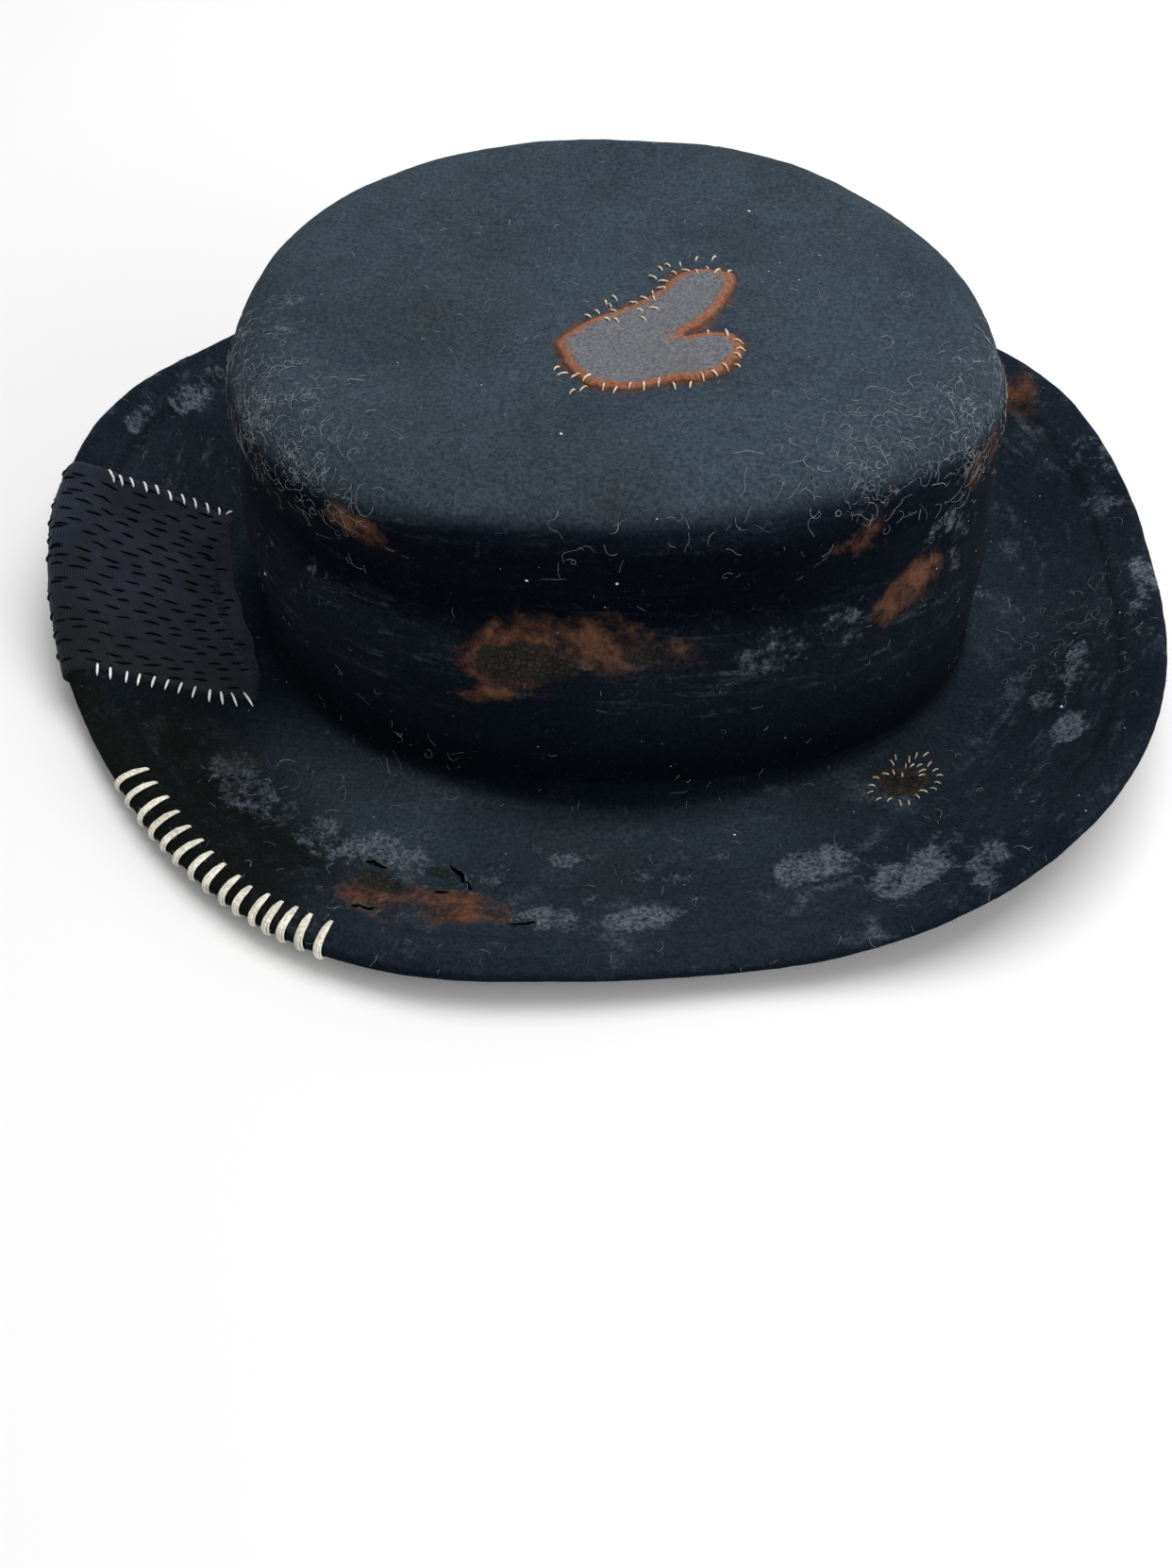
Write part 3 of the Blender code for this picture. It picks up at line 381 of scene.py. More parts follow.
LINT_GROUPS = (  # middle x, y, z, spread, count, shortest, longest (mm), curl
    (-84, -50, 97, 15, 80, 2.0, 9.0, 0.5), (-94, -22, 94, 12, 40, 2.0, 7.0, 0.5), (-62, -74, 93, 12, 50, 2.0, 7.0, 0.5),
    (62, -62, 99, 14, 40, 2.0, 9.0, 0.5), (84, -48, 95, 14, 60, 2.0, 9.0, 0.5), (98, -20, 94, 14, 50, 2.0, 8.0, 0.5),
    (30, -84, 90, 12, 5, 2.0, 6.0, 0.5), (-2, -86, 86, 9, 5, 3.0, 8.0, 0.6), (-84, -54, 96, 6, 70, 0.8, 3.0, 0.6), (-70, -66, 95, 5, 40, 0.8, 3.0, 0.6), (68, -64, 97, 6, 60, 0.8, 3.0, 0.6), (90, -44, 94, 7, 60, 0.8, 3.0, 0.6), (-52, -100, 6, 18, 14, 3.0, 11.0, 0.6),
    (20, -100, 6, 26, 12, 2.0, 7.0, 0.5), (134, -20, 14, 22, 40, 2.0, 9.0, 0.6), (-140, 40, 20, 26, 20, 1.5, 5.0, 0.4),
    (90, -110, 8, 34, 20, 1.5, 5.0, 0.4), (-60, -125, 8, 34, 20, 1.5, 5.0, 0.4), (0, 20, 101, 60, 110, 1.0, 3.5, 0.3),
    (0, 0, 0, 999, 170, 0.8, 3.0, 0.4),
)
LINT_AMOUNT = 2.2
FLECKS = ((-6, -62, 101.5), (-12, -90, 76), (10, -90, 76), (42, -98, 6), (34, 42, 101), (158, -10, 20), (128, -50, 12), (-98, -62, 45))
CAM_LENS = 39.30
CAM_PLACE = (0.037566 + 0.00245 - 0.00245, -0.39436419, 0.3493728)
CAM_AXES = ((0.99471602, 0.1024382, -0.00681563), (-0.07230423, 0.74613886, 0.66185262), (0.0728844, -0.65786261, 0.749603))
WORLD_LIGHT = 0.55
LIGHTS = (  # name, place, aim, size, power, colour
    ("overhead", (0.30, 0.36, 1.48), (0.0, 0.0, 0.05), (1.3, 1.1), 23.0, (1.0, 1.0, 1.0)),
    ("front_fill", (1.25, -0.85, 0.62), (0.05, -0.05, 0.0), (1.2, 0.8), 12.0, (1.0, 1.0, 1.0)),
)


# ---- noise --------------------------------------------------------------
def _hash(ix, iy, iz, seed):
    h = (ix * np.uint32(374761393)) ^ (iy * np.uint32(668265263)) ^ (iz * np.uint32(2246822519)) ^ np.uint32(seed * 3266489917 & 0xFFFFFFFF)
    h = (h ^ (h >> np.uint32(13))) * np.uint32(1274126177)
    h = h ^ (h >> np.uint32(16))
    return h.astype(np.float64) / 4294967295.0 * 2 - 1


def vnoise(P, size, seed=0):
    q = P / size
    i = np.floor(q)
    f = q - i
    u = f * f * f * (f * (f * 6 - 15) + 10)
    i = i.astype(np.int64).astype(np.uint32)
    total = 0.0
    for dx in (0, 1):
        wx = u[:, 0] if dx else 1 - u[:, 0]
        for dy in (0, 1):
            wy = u[:, 1] if dy else 1 - u[:, 1]
            for dz in (0, 1):
                wz = u[:, 2] if dz else 1 - u[:, 2]
                total = total + wx * wy * wz * _hash(
                    i[:, 0] + np.uint32(dx), i[:, 1] + np.uint32(dy), i[:, 2] + np.uint32(dz), seed)
    return total


def fbm(P, size, octaves=3, seed=0):
    out, amp, norm = 0.0, 1.0, 0.0
    for k in range(octaves):
        out = out + amp * vnoise(P, size / 2 ** k, seed + 17 * k)
        norm += amp
        amp *= 0.55
    return out / norm


def smooth(x, a, b):
    v = np.clip((x - a) / (b - a), 0.0, 1.0)
    return v * v * (3 - 2 * v)


RNG = np.random.default_rng(7)


# ---- mesh helpers -------------------------------------------------------
def mesh_object(name, points, faces, material=None, smooth_shade=True, place_it=True):
    mesh = bpy.data.meshes.new(name)
    points = np.asarray(points, dtype=np.float32)
    quads = np.asarray(faces, dtype=np.int32) if isinstance(faces, np.ndarray) else None
    if quads is not None:
        mesh.vertices.add(len(points))
        mesh.vertices.foreach_set("co", points.ravel())
        n, k = quads.shape
        mesh.loops.add(n * k)
        mesh.loops.foreach_set("vertex_index", quads.ravel())
        mesh.polygons.add(n)
        mesh.polygons.foreach_set("loop_start", np.arange(0, n * k, k, dtype=np.int32))
        mesh.update(calc_edges=True)
        mesh.validate()
    else:
        mesh.from_pydata([tuple(map(float, p)) for p in points], [], faces)
    if smooth_shade:
        mesh.shade_smooth()
    obj = bpy.data.objects.new(name, mesh)
    bpy.context.scene.collection.objects.link(obj)
    if place_it:
        obj.location = OFFSET
    if material:
        mesh.materials.append(material)
    return obj


def set_float(obj, name, values):
    att = obj.data.attributes.new(name, "FLOAT", "POINT")
    att.data.foreach_set("value", np.asarray(values, dtype=np.float32))


def fix_normals(obj):
    bm = bmesh.new()
    bm.from_mesh(obj.data)
    bmesh.ops.recalc_face_normals(bm, faces=bm.faces)
    bm.to_mesh(obj.data)
    bm.free()


def tubes(name, paths, radii, sides, material, closed_caps=True):
    """Many short tubes in one mesh. paths: list of (n, 3) arrays; radii: list of scalars or (n,) arrays."""
    verts, faces, off = [], [], 0
    ang = 2 * np.pi * np.arange(sides) / sides
    ca, sa = np.cos(ang), np.sin(ang)
    for path, rad in zip(paths, radii):
        path = np.asarray(path, float)
        n = len(path)
        rad = np.full(n, rad) if np.isscalar(rad) else np.asarray(rad)
        seg = np.diff(path, axis=0)
        seg /= np.linalg.norm(seg, axis=1)[:, None] + 1e-12
        tan = np.vstack([seg[:1], seg[:-1] + seg[1:], seg[-1:]])
        tan /= np.linalg.norm(tan, axis=1)[:, None] + 1e-12
        side = np.cross([0.0, 0.0, 1.0], tan[0])
        if np.linalg.norm(side) < 0.1:
            side = np.cross([1.0, 0.0, 0.0], tan[0])
        rings = []
        for p, t, r in zip(path, tan, rad):
            side = side - t * side.dot(t)
            side /= np.linalg.norm(side) + 1e-12
            up = np.cross(t, side)
            rings.append(p + r * (ca[:, None] * side + sa[:, None] * up))
        ring = np.vstack(rings + [path[:1] - tan[:1] * rad[0] * 0.5, path[-1:] + tan[-1:] * rad[-1] * 0.5])
        verts.append(ring)
        j = np.arange(n - 1)[:, None] * sides
        i = np.arange(sides)[None, :]
        h = (i + 1) % sides
        quad = np.stack([off + j + i, off + j + h, off + j + sides + h, off + j + sides + i], -1).reshape(-1, 4)
        a, b = off + n * sides, off + n * sides + 1
        ii = np.arange(sides)
        hh = (ii + 1) % sides
        cap0 = np.stack([np.full(sides, a), off + hh, off + ii], -1)
        cap1 = np.stack([np.full(sides, b), off + (n - 1) * sides + ii, off + (n - 1) * sides + hh], -1)
        faces += [tuple(f) for f in quad] + [tuple(f) for f in cap0] + [tuple(f) for f in cap1]
        off += len(ring)
    return mesh_object(name, np.vstack(verts), [tuple(int(v) for v in f) for f in faces], material)


# ---- node helpers -------------------------------------------------------
class Nodes:
    def __init__(self, name):
        self.mat = bpy.data.materials.new(name)
        self.mat.use_nodes = True
        self.tree = self.mat.node_tree
        self.tree.nodes.clear()
        self.out = self.add("ShaderNodeOutputMaterial")
        self.bsdf = self.add("ShaderNodeBsdfPrincipled")
        self.link(self.bsdf.outputs[0], self.out.inputs[0])
        self.coord = self.add("ShaderNodeTexCoord").outputs["Object"]

    def add(self, kind):
        return self.tree.nodes.new(kind)

    def link(self, a, b):
        self.tree.links.new(a, b)

    def put(self, socket, value):
        if isinstance(value, bpy.types.NodeSocket):
            self.link(value, socket)
        else:
            socket.default_value = value

    def attr(self, name):
        n = self.add("ShaderNodeAttribute")
        n.attribute_name = name
        return n.outputs["Fac"]

    def noise(self, scale, detail=3.0, rough=0.55, distortion=0.0, vector=None):
        n = self.add("ShaderNodeTexNoise")
        self.put(n.inputs["Vector"], vector if vector is not None else self.coord)
        n.inputs["Scale"].default_value = scale
        n.inputs["Detail"].default_value = detail
        n.inputs["Roughness"].default_value = rough
        n.inputs["Distortion"].default_value = distortion
        return n.outputs["Fac"]

    def voronoi(self, scale, feature="F1", vector=None, out="Distance"):
        n = self.add("ShaderNodeTexVoronoi")
        n.feature = feature
        self.put(n.inputs["Vector"], vector if vector is not None else self.coord)
        n.inputs["Scale"].default_value = scale
        return n.outputs[out]

    def mapping(self, scale, rotation=(0, 0, 0), vector=None):
        n = self.add("ShaderNodeMapping")
        self.put(n.inputs["Vector"], vector if vector is not None else self.coord)
        n.inputs["Scale"].default_value = scale
        n.inputs["Rotation"].default_value = rotation
        return n.outputs[0]

    def math(self, op, a, b=0.0, c=0.0, clamp=False):
        n = self.add("ShaderNodeMath")
        n.operation = op
        n.use_clamp = clamp
        for s, v in zip(n.inputs, (a, b, c)):
            self.put(s, v)
        return n.outputs[0]

    def ramp(self, value, low, high, out_low=0.0, out_high=1.0):
        n = self.add("ShaderNodeMapRange")
        n.interpolation_type = "SMOOTHSTEP"
        self.put(n.inputs["Value"], value)
        n.inputs["From Min"].default_value = low
        n.inputs["From Max"].default_value = high
        n.inputs["To Min"].default_value = out_low
        n.inputs["To Max"].default_value = out_high
        return n.outputs["Result"]

    def mix(self, fac, a, b, kind="MIX"):
        n = self.add("ShaderNodeMix")
        n.data_type = "RGBA"
        n.blend_type = kind
        self.put(n.inputs[0], fac)
        for s, v in ((n.inputs[6], a), (n.inputs[7], b)):
            self.put(s, (*v, 1.0) if isinstance(v, tuple) and len(v) == 3 else v)
        return n.outputs[2]

    def bump(self, height, distance, strength=1.0, normal=None):
        n = self.add("ShaderNodeBump")
        n.inputs["Strength"].default_value = strength
        n.inputs["Distance"].default_value = distance
        self.put(n.inputs["Height"], height)
        if normal is not None:
            self.link(normal, n.inputs["Normal"])
        return n.outputs[0]

    def surface(self, colour, roughness, normal=None, specular=0.15, sheen=0.0, sheen_rough=0.5, sheen_tint=(1, 1, 1)):
        b = self.bsdf
        self.put(b.inputs["Base Color"], (*colour, 1.0) if isinstance(colour, tuple) and len(colour) == 3 else colour)
        self.put(b.inputs["Roughness"], roughness)
        b.inputs["Specular IOR Level"].default_value = specular
        b.inputs["Sheen Weight"].default_value = sheen
        b.inputs["Sheen Roughness"].default_value = sheen_rough
        b.inputs["Sheen Tint"].default_value = (*sheen_tint, 1.0)
        if normal is not None:
            self.link(normal, b.inputs["Normal"])
        return self.mat


# ---- materials ----------------------------------------------------------
def felt_material():
    n = Nodes("felt_worn")
    top, painted_shade, green_shade = n.attr("top"), n.attr("painted_shade"), n.attr("green_shade")
    abr, rust, char = n.attr("abr"), n.attr("rust"), n.attr("char")
    coarse = n.noise(28, 4, 0.6)
    mid = n.noise(160, 4, 0.65)
    fine = n.noise(900, 3, 0.7)
    grain = n.noise(2600, 2, 0.6)
    hair_a = n.noise(1.0, 2, 0.5, 0.4, n.mapping((260, 2600, 900), (0, 0, 0.5)))
    hair_b = n.noise(1.0, 2, 0.5, 0.4, n.mapping((2600, 300, 900), (0, 0, 0.3)))
    hair = n.math("MAXIMUM", hair_a, hair_b)
    # plain felt: blue-black walls; where the top mask lies, painted light from above makes up-facing felt greyer and
    # mottled
    base = n.mix(n.ramp(coarse, 0.35, 0.65), FELT_A, FELT_B)
    base = n.mix(n.math("MULTIPLY", top, n.ramp(mid, 0.15, 0.75, 0.75, 1.0)), base, FELT_TOP_PAINTED_LIGHT)
    base = n.mix(n.math("MULTIPLY", n.ramp(n.noise(16, 3, 0.6), 0.42, 0.68), n.math("MULTIPLY", top, 0.55)), base, (0.022, 0.027, 0.029))
    # greenish near-black from the green mask: painted shade on the left front brim
    base = n.mix(n.math("MULTIPLY", green_shade, 0.92), base, FELT_GREEN_SHADE)
    # painted shade: near-black wherever the dark mask lies
    base = n.mix(painted_shade, base, (0.0007, 0.0013, 0.0034))
    base = n.mix(1.0, base, n.mix(n.ramp(fine, 0.25, 0.75), (0.62, 0.62, 0.62), (1.4, 1.4, 1.4)), "MULTIPLY")
    base = n.mix(1.0, base, n.mix(n.ramp(grain, 0.2, 0.8), (0.72, 0.72, 0.72), (1.3, 1.3, 1.3)), "MULTIPLY")
    # pale fibres lying on the surface
    fibre = n.math("MULTIPLY", n.ramp(hair, 0.66, 0.78), n.ramp(mid, 0.42, 0.66))
    base = n.mix(n.math("MULTIPLY", fibre, n.math("ADD", 0.16, n.math("MULTIPLY", top, 0.22))), base, (0.15, 0.18, 0.215))
    # grey abrasion, broken up at its edge
    patchy = n.noise(75, 5, 0.7)
    spot = n.noise(420, 4, 0.7)
    a = n.math("ADD", n.math("MULTIPLY", abr, 0.95), n.math("MULTIPLY", n.math("SUBTRACT", patchy, 0.5), 1.7))
    a = n.math("ADD", a, n.math("MULTIPLY", n.math("SUBTRACT", mid, 0.5), 1.6))
    a = n.math("ADD", a, n.math("MULTIPLY", n.math("SUBTRACT", spot, 0.5), 1.5))
    a = n.math("MULTIPLY", n.ramp(a, 0.36, 0.95), n.ramp(abr, 0.02, 0.30))
    scuff = n.math("MULTIPLY", n.ramp(spot, 0.50, 0.74), n.math("MULTIPLY", n.ramp(patchy, 0.46, 0.64), n.ramp(mid, 0.40, 0.62)))
    scuff = n.math("MULTIPLY", scuff, n.math("ADD", 0.10, n.math("ADD", n.math("MULTIPLY", n.attr("brim"), 0.42), n.math("MULTIPLY", top, 0.10))))
    a = n.math("MAXIMUM", a, scuff)
    streak = n.noise(1.0, 4, 0.65, 0.3, n.mapping((55, 55, 420)))
    streak = n.math("MULTIPLY", n.ramp(streak, 0.50, 0.72), n.math("MULTIPLY", n.attr("brim"), n.ramp(patchy, 0.38, 0.62, 0.0, 0.62)))
    a = n.math("MAXIMUM", a, streak)
    grey = n.mix(n.ramp(fine, 0.3, 0.7), ABRADE_A, ABRADE_B)
    base = n.mix(n.math("MULTIPLY", a, 0.82), base, grey)
    # scorched rust-brown patches
    r = n.math("ADD", rust, n.math("MULTIPLY", n.math("SUBTRACT", mid, 0.5), 1.3))
    r = n.math("ADD", r, n.math("MULTIPLY", n.math("SUBTRACT", patchy, 0.5), 1.6))
    r = n.math("MULTIPLY", n.ramp(r, 0.22, 1.05), n.ramp(rust, 0.02, 0.35))
    brown = n.mix(n.ramp(n.math("ADD", n.math("MULTIPLY", fine, 0.4), n.math("MULTIPLY", mid, 0.6)), 0.32, 0.68), RUST_A, RUST_B)
    base = n.mix(r, base, brown)
    c = n.math("ADD", char, n.math("MULTIPLY", n.math("SUBTRACT", mid, 0.5), 1.3))
    c = n.math("MULTIPLY", n.ramp(c, 0.35, 0.75), n.ramp(char, 0.02, 0.25))
    crack = n.voronoi(620, "DISTANCE_TO_EDGE", n.mapping((1, 1, 1), (0, 0, 0.3)))
    crack = n.math("ADD", crack, n.math("MULTIPLY", n.math("SUBTRACT", fine, 0.5), 0.25))
    crust = n.mix(n.ramp(crack, 0.0, 0.22), (0.007, 0.007, 0.007), CHAR)
    crust = n.mix(n.ramp(spot, 0.35, 0.65), crust, (0.014, 0.015, 0.014))
    base = n.mix(n.math("MULTIPLY", c, 0.88), base, crust)
    h = n.math("ADD", n.math("MULTIPLY", fine, 0.55), n.math("MULTIPLY", grain, 0.35))
    h = n.math("ADD", h, n.math("MULTIPLY", hair, 0.35))
    h = n.math("ADD", h, n.math("MULTIPLY", a, -0.35))
    h = n.math("SUBTRACT", h, n.math("MULTIPLY", c, n.ramp(crack, 0.0, 0.1, 0.8, 0.0)))
    nrm = n.bump(h, 0.00045, 0.9)
    return n.surface(base, n.ramp(a, 0.0, 1.0, 0.96, 0.8), nrm, FELT_SPECULAR, FELT_SHEEN, 0.45, (0.6, 0.75, 1.0))


def thread_material(name, colour_a, colour_b, rough=0.75, scale=1500, sheen=0.15, strength=0.6, specular=0.2):
    n = Nodes(name)
    g = n.noise(scale, 3, 0.6)
    big = n.noise(scale / 8, 2, 0.5)
    col = n.mix(n.ramp(g, 0.3, 0.7), colour_a, colour_b)
    col = n.mix(1.0, col, n.mix(n.ramp(big, 0.3, 0.7), (0.8, 0.8, 0.8), (1.05, 1.05, 1.05)), "MULTIPLY")
    return n.surface(col, rough, n.bump(g, 0.00015, strength), specular, sheen)


def patch_grey_material():
    n = Nodes("heart_felt_worn")
    edge = n.attr("edge")
    mid, fine, grain = n.noise(260, 4, 0.6), n.noise(1100, 3, 0.7), n.noise(3000, 2, 0.6)
    grey = n.mix(n.ramp(fine, 0.3, 0.72), (0.062, 0.066, 0.074), (0.150, 0.156, 0.172))
    grey = n.mix(n.ramp(n.noise(90, 2, 0.5), 0.45, 0.7, 0.0, 0.35), grey, (0.10, 0.088, 0.085))
    brown = n.mix(n.ramp(fine, 0.3, 0.7), (0.135, 0.05, 0.028), (0.26, 0.115, 0.062))
    e = n.math("ADD", edge, n.math("MULTIPLY", n.math("SUBTRACT", mid, 0.5), 0.5))
    e = n.math("ADD", e, n.math("MULTIPLY", n.math("SUBTRACT", fine, 0.5), 0.35))
    col = n.mix(n.ramp(e, 0.35, 0.65), grey, brown)
    col = n.mix(n.ramp(edge, 0.93, 1.0, 0.0, 0.6), col, (0.03, 0.014, 0.01))
    h = n.math("ADD", n.math("MULTIPLY", fine, 0.7), n.math("MULTIPLY", grain, 0.5))
    return n.surface(col, 0.95, n.bump(h, 0.0005, 0.9), 0.08, 0.08)


def woven_material():
    n = Nodes("navy_weave")
    u, v = n.attr("u"), n.attr("v")
    wob = n.math("MULTIPLY", n.math("SUBTRACT", n.noise(220, 3, 0.6), 0.5), 2.6)
    warp = n.math("SINE", n.math("ADD", n.math("MULTIPLY", u, 2 * math.pi / 0.62), wob))
    weft = n.math("SINE", n.math("ADD", n.math("MULTIPLY", v, 2 * math.pi / 0.75), wob))
    ribs = n.math("MULTIPLY", n.math("ADD", n.math("MULTIPLY", warp, 0.35), n.math("MULTIPLY", weft, 0.65)), 0.5)
    fine = n.noise(1400, 3, 0.65)
    coarse = n.noise(45, 3, 0.55)
    col = n.mix(n.ramp(coarse, 0.35, 0.65), NAVY_A, NAVY_B)
    col = n.mix(n.math("MULTIPLY", n.attr("low"), 0.75), col, (0.0052, 0.0058, 0.0052))
    col = n.mix(1.0, col, n.mix(n.ramp(n.math("ADD", ribs, n.math("MULTIPLY", fine, 0.6)), -0.2, 0.8), (0.6, 0.6, 0.6), (1.35, 1.35, 1.38)), "MULTIPLY")
    h = n.math("ADD", ribs, n.math("MULTIPLY", fine, 0.5))
    return n.surface(col, 0.9, n.bump(h, 0.00025, 0.8), 0.1, 0.12, 0.5, (0.75, 0.8, 1.0))


def leather_material():
    n = Nodes("sweat_leather_grain")
    cells = n.voronoi(700)
    pores = n.noise(1800, 3, 0.6)
    tone = n.noise(40, 4, 0.6)
    col = n.mix(n.ramp(tone, 0.35, 0.65), (0.075, 0.032, 0.014), (0.14, 0.066, 0.03))
    col = n.mix(1.0, col, n.mix(n.ramp(cells, 0.0, 0.6), (1.05, 1.05, 1.05), (0.78, 0.78, 0.78)), "MULTIPLY")
    h = n.math("ADD", n.math("MULTIPLY", cells, -0.6), n.math("MULTIPLY", pores, 0.4))
    return n.surface(col, n.ramp(tone, 0.3, 0.7, 0.42, 0.62), n.bump(h, 0.0002, 0.7), 0.4)


def satin_material():
    n = Nodes("lining_satin")
    fine = n.noise(1.0, 2, 0.5, 0.0, n.mapping((400, 400, 4200)))
    tone = n.noise(35, 3, 0.5)
    col = n.mix(n.ramp(tone, 0.3, 0.7), (0.030, 0.027, 0.032), (0.055, 0.05, 0.058))
    return n.surface(col, n.ramp(fine, 0.3, 0.7, 0.26, 0.4), n.bump(n.math("ADD", fine, tone), 0.0002, 0.35), 0.5, 0.25, 0.3)


def ribbon_material():
    n = Nodes("grosgrain")
    ribs = n.math("SINE", n.math("MULTIPLY", n.noise(1.0, 0, 0.5, 0.0, n.mapping((60, 60, 5200))), 60.0))
    fine = n.noise(1500, 2, 0.6)
    col = n.mix(n.ramp(fine, 0.3, 0.7), (0.012, 0.012, 0.014), (0.03, 0.03, 0.033))
    return n.surface(col, 0.6, n.bump(n.math("ADD", ribs, fine), 0.0001, 0.5), 0.3, 0.2)


def floor_material():
    n = Nodes("pale_floor")
    t = n.noise(3.0, 2, 0.5)
    col = n.mix(n.ramp(t, 0.3, 0.7), (0.722, 0.722, 0.722), (0.730, 0.730, 0.730))
    return n.surface(col, 0.9, None, 0.1)


FELT_A = (0.0020, 0.0036, 0.0078)
FELT_B = (0.0040, 0.0070, 0.0125)
# grey of the up-facing felt: painted light from above
FELT_TOP_PAINTED_LIGHT = (0.0325, 0.0465, 0.0610)
# greenish near-black: painted shade on the left front brim
FELT_GREEN_SHADE = (0.0042, 0.0050, 0.0042)
ABRADE_A = (0.016, 0.021, 0.028)
ABRADE_B = (0.130, 0.155, 0.190)
RUST_A = (0.018, 0.0095, 0.007)
RUST_B = (0.120, 0.055, 0.033)
CHAR = (0.024, 0.026, 0.023)
NAVY_A = (0.0068, 0.0088, 0.0150)
NAVY_B = (0.0140, 0.0175, 0.0275)
FELT_SPECULAR = 0.03
FELT_SHEEN = 0.012


# ---- felt body ----------------------------------------------------------
def felt_grid():
    nt = 600
    outer, rims, lower = [], [], []
    ts = np.arange(nt) * 2 * math.pi / nt
    for t in ts:
        pts = outer_profile(t, 18, 56, 7, 46)
        u, r, l = skin(t, pts, 10)
        outer.append([place(t, d, z) for d, z, _, _ in u])
        rims.append([place(t, d, z) for d, z, _, _ in r])
        lower.append([place(t, d, z) for d, z, _, _ in l])
    outer = np.array(outer).transpose(1, 0, 2)
    rims = np.array(rims).transpose(1, 0, 2)
    lower = np.array(lower).transpose(1, 0, 2)[::-1]
    lower = np.vstack([lower[:60:2], lower[60::4], lower[-1:]])
    cx, cy = CROWN_TOP_SHIFT

    def cap(ring, count, drop):
        rows = []
        for k in range(1, count + 1):
            s = k / (count + 1)
            xy = np.array([cx, cy]) + (ring[:, :2] - [cx, cy]) * s
            z = CROWN_HEIGHT + CROWN_TOP_RISE_X * xy[:, 0] / CROWN_HALF_LENGTH + CROWN_TOP_RISE_Y * xy[:, 1] / CROWN_HALF_WIDTH - drop
            rows.append(np.column_stack([xy, z]))
        return np.array(rows)

    cap_out = cap(outer[0], 54, 0.0)
    cap_in = cap(lower[-1], 6, FELT)[::-1]
    grid = np.vstack([cap_out, outer, rims, lower, cap_in])
    n_out = len(cap_out) + len(outer) + len(rims)
    return grid, n_out, len(cap_out), nt


def mark_masks(P, N):
    masks = {k: np.zeros(len(P)) for k in ("abr", "rust", "char", "green_shade")}
    wob = fbm(P, 9 * MM, 3, 5)
    wob2 = fbm(P, 3.5 * MM, 2, 9)
    heart = catmull(HEART_POINTS, 5) * MM + np.array(HEART_CENTRE)
    close = np.where((P[:, 2] > 98 * MM) & (np.hypot(P[:, 0] - 9 * MM, P[:, 1] + 17 * MM) < 45 * MM))[0]
    masks["rust"][close] = 0.75 * smooth(edge_distance(P[close, :2], heart) + wob2[close] * 0.8 * MM, 2.6 * MM, 0.2 * MM)
    for kind, strength, c, u, v in MARKS:
        if kind == "abr" and strength < 0.5:
            strength *= 1.35
        c, u, v = (np.array(q) * MM for q in (c, u, v))
        w = np.cross(u, v)
        w /= np.linalg.norm(w) + 1e-15
        d = P - c
        G = np.array([[u @ u, u @ v], [u @ v, v @ v]]) + np.eye(2) * (1.2 * MM) ** 2
        ab = np.linalg.solve(G, np.stack([d @ u, d @ v]))
        r = np.sqrt(ab[0] ** 2 + ab[1] ** 2)
        depth = np.abs(d @ w)
        if kind == "rust":
            m = smooth(r + 0.40 * wob + 0.2 * wob2, 1.55, 0.30) * strength
            reach_more = 1.3
        else:
            m = smooth(r + 0.42 * wob + 0.2 * wob2, 1.30, 0.45) * strength
            reach_more = 1.1
        reach = (np.linalg.norm(u) + np.linalg.norm(v) + 1.5 * MM) * reach_more
        m *= smooth(np.linalg.norm(d, axis=1), 1.15 * reach, 0.9 * reach)
        m *= smooth(depth, 16 * MM, 9 * MM) * (N @ w * np.sign(w[2] if abs(w[2]) > 0.3 else -w[1]) > -0.1)
        masks[kind] = np.maximum(masks[kind], m)
    return masks


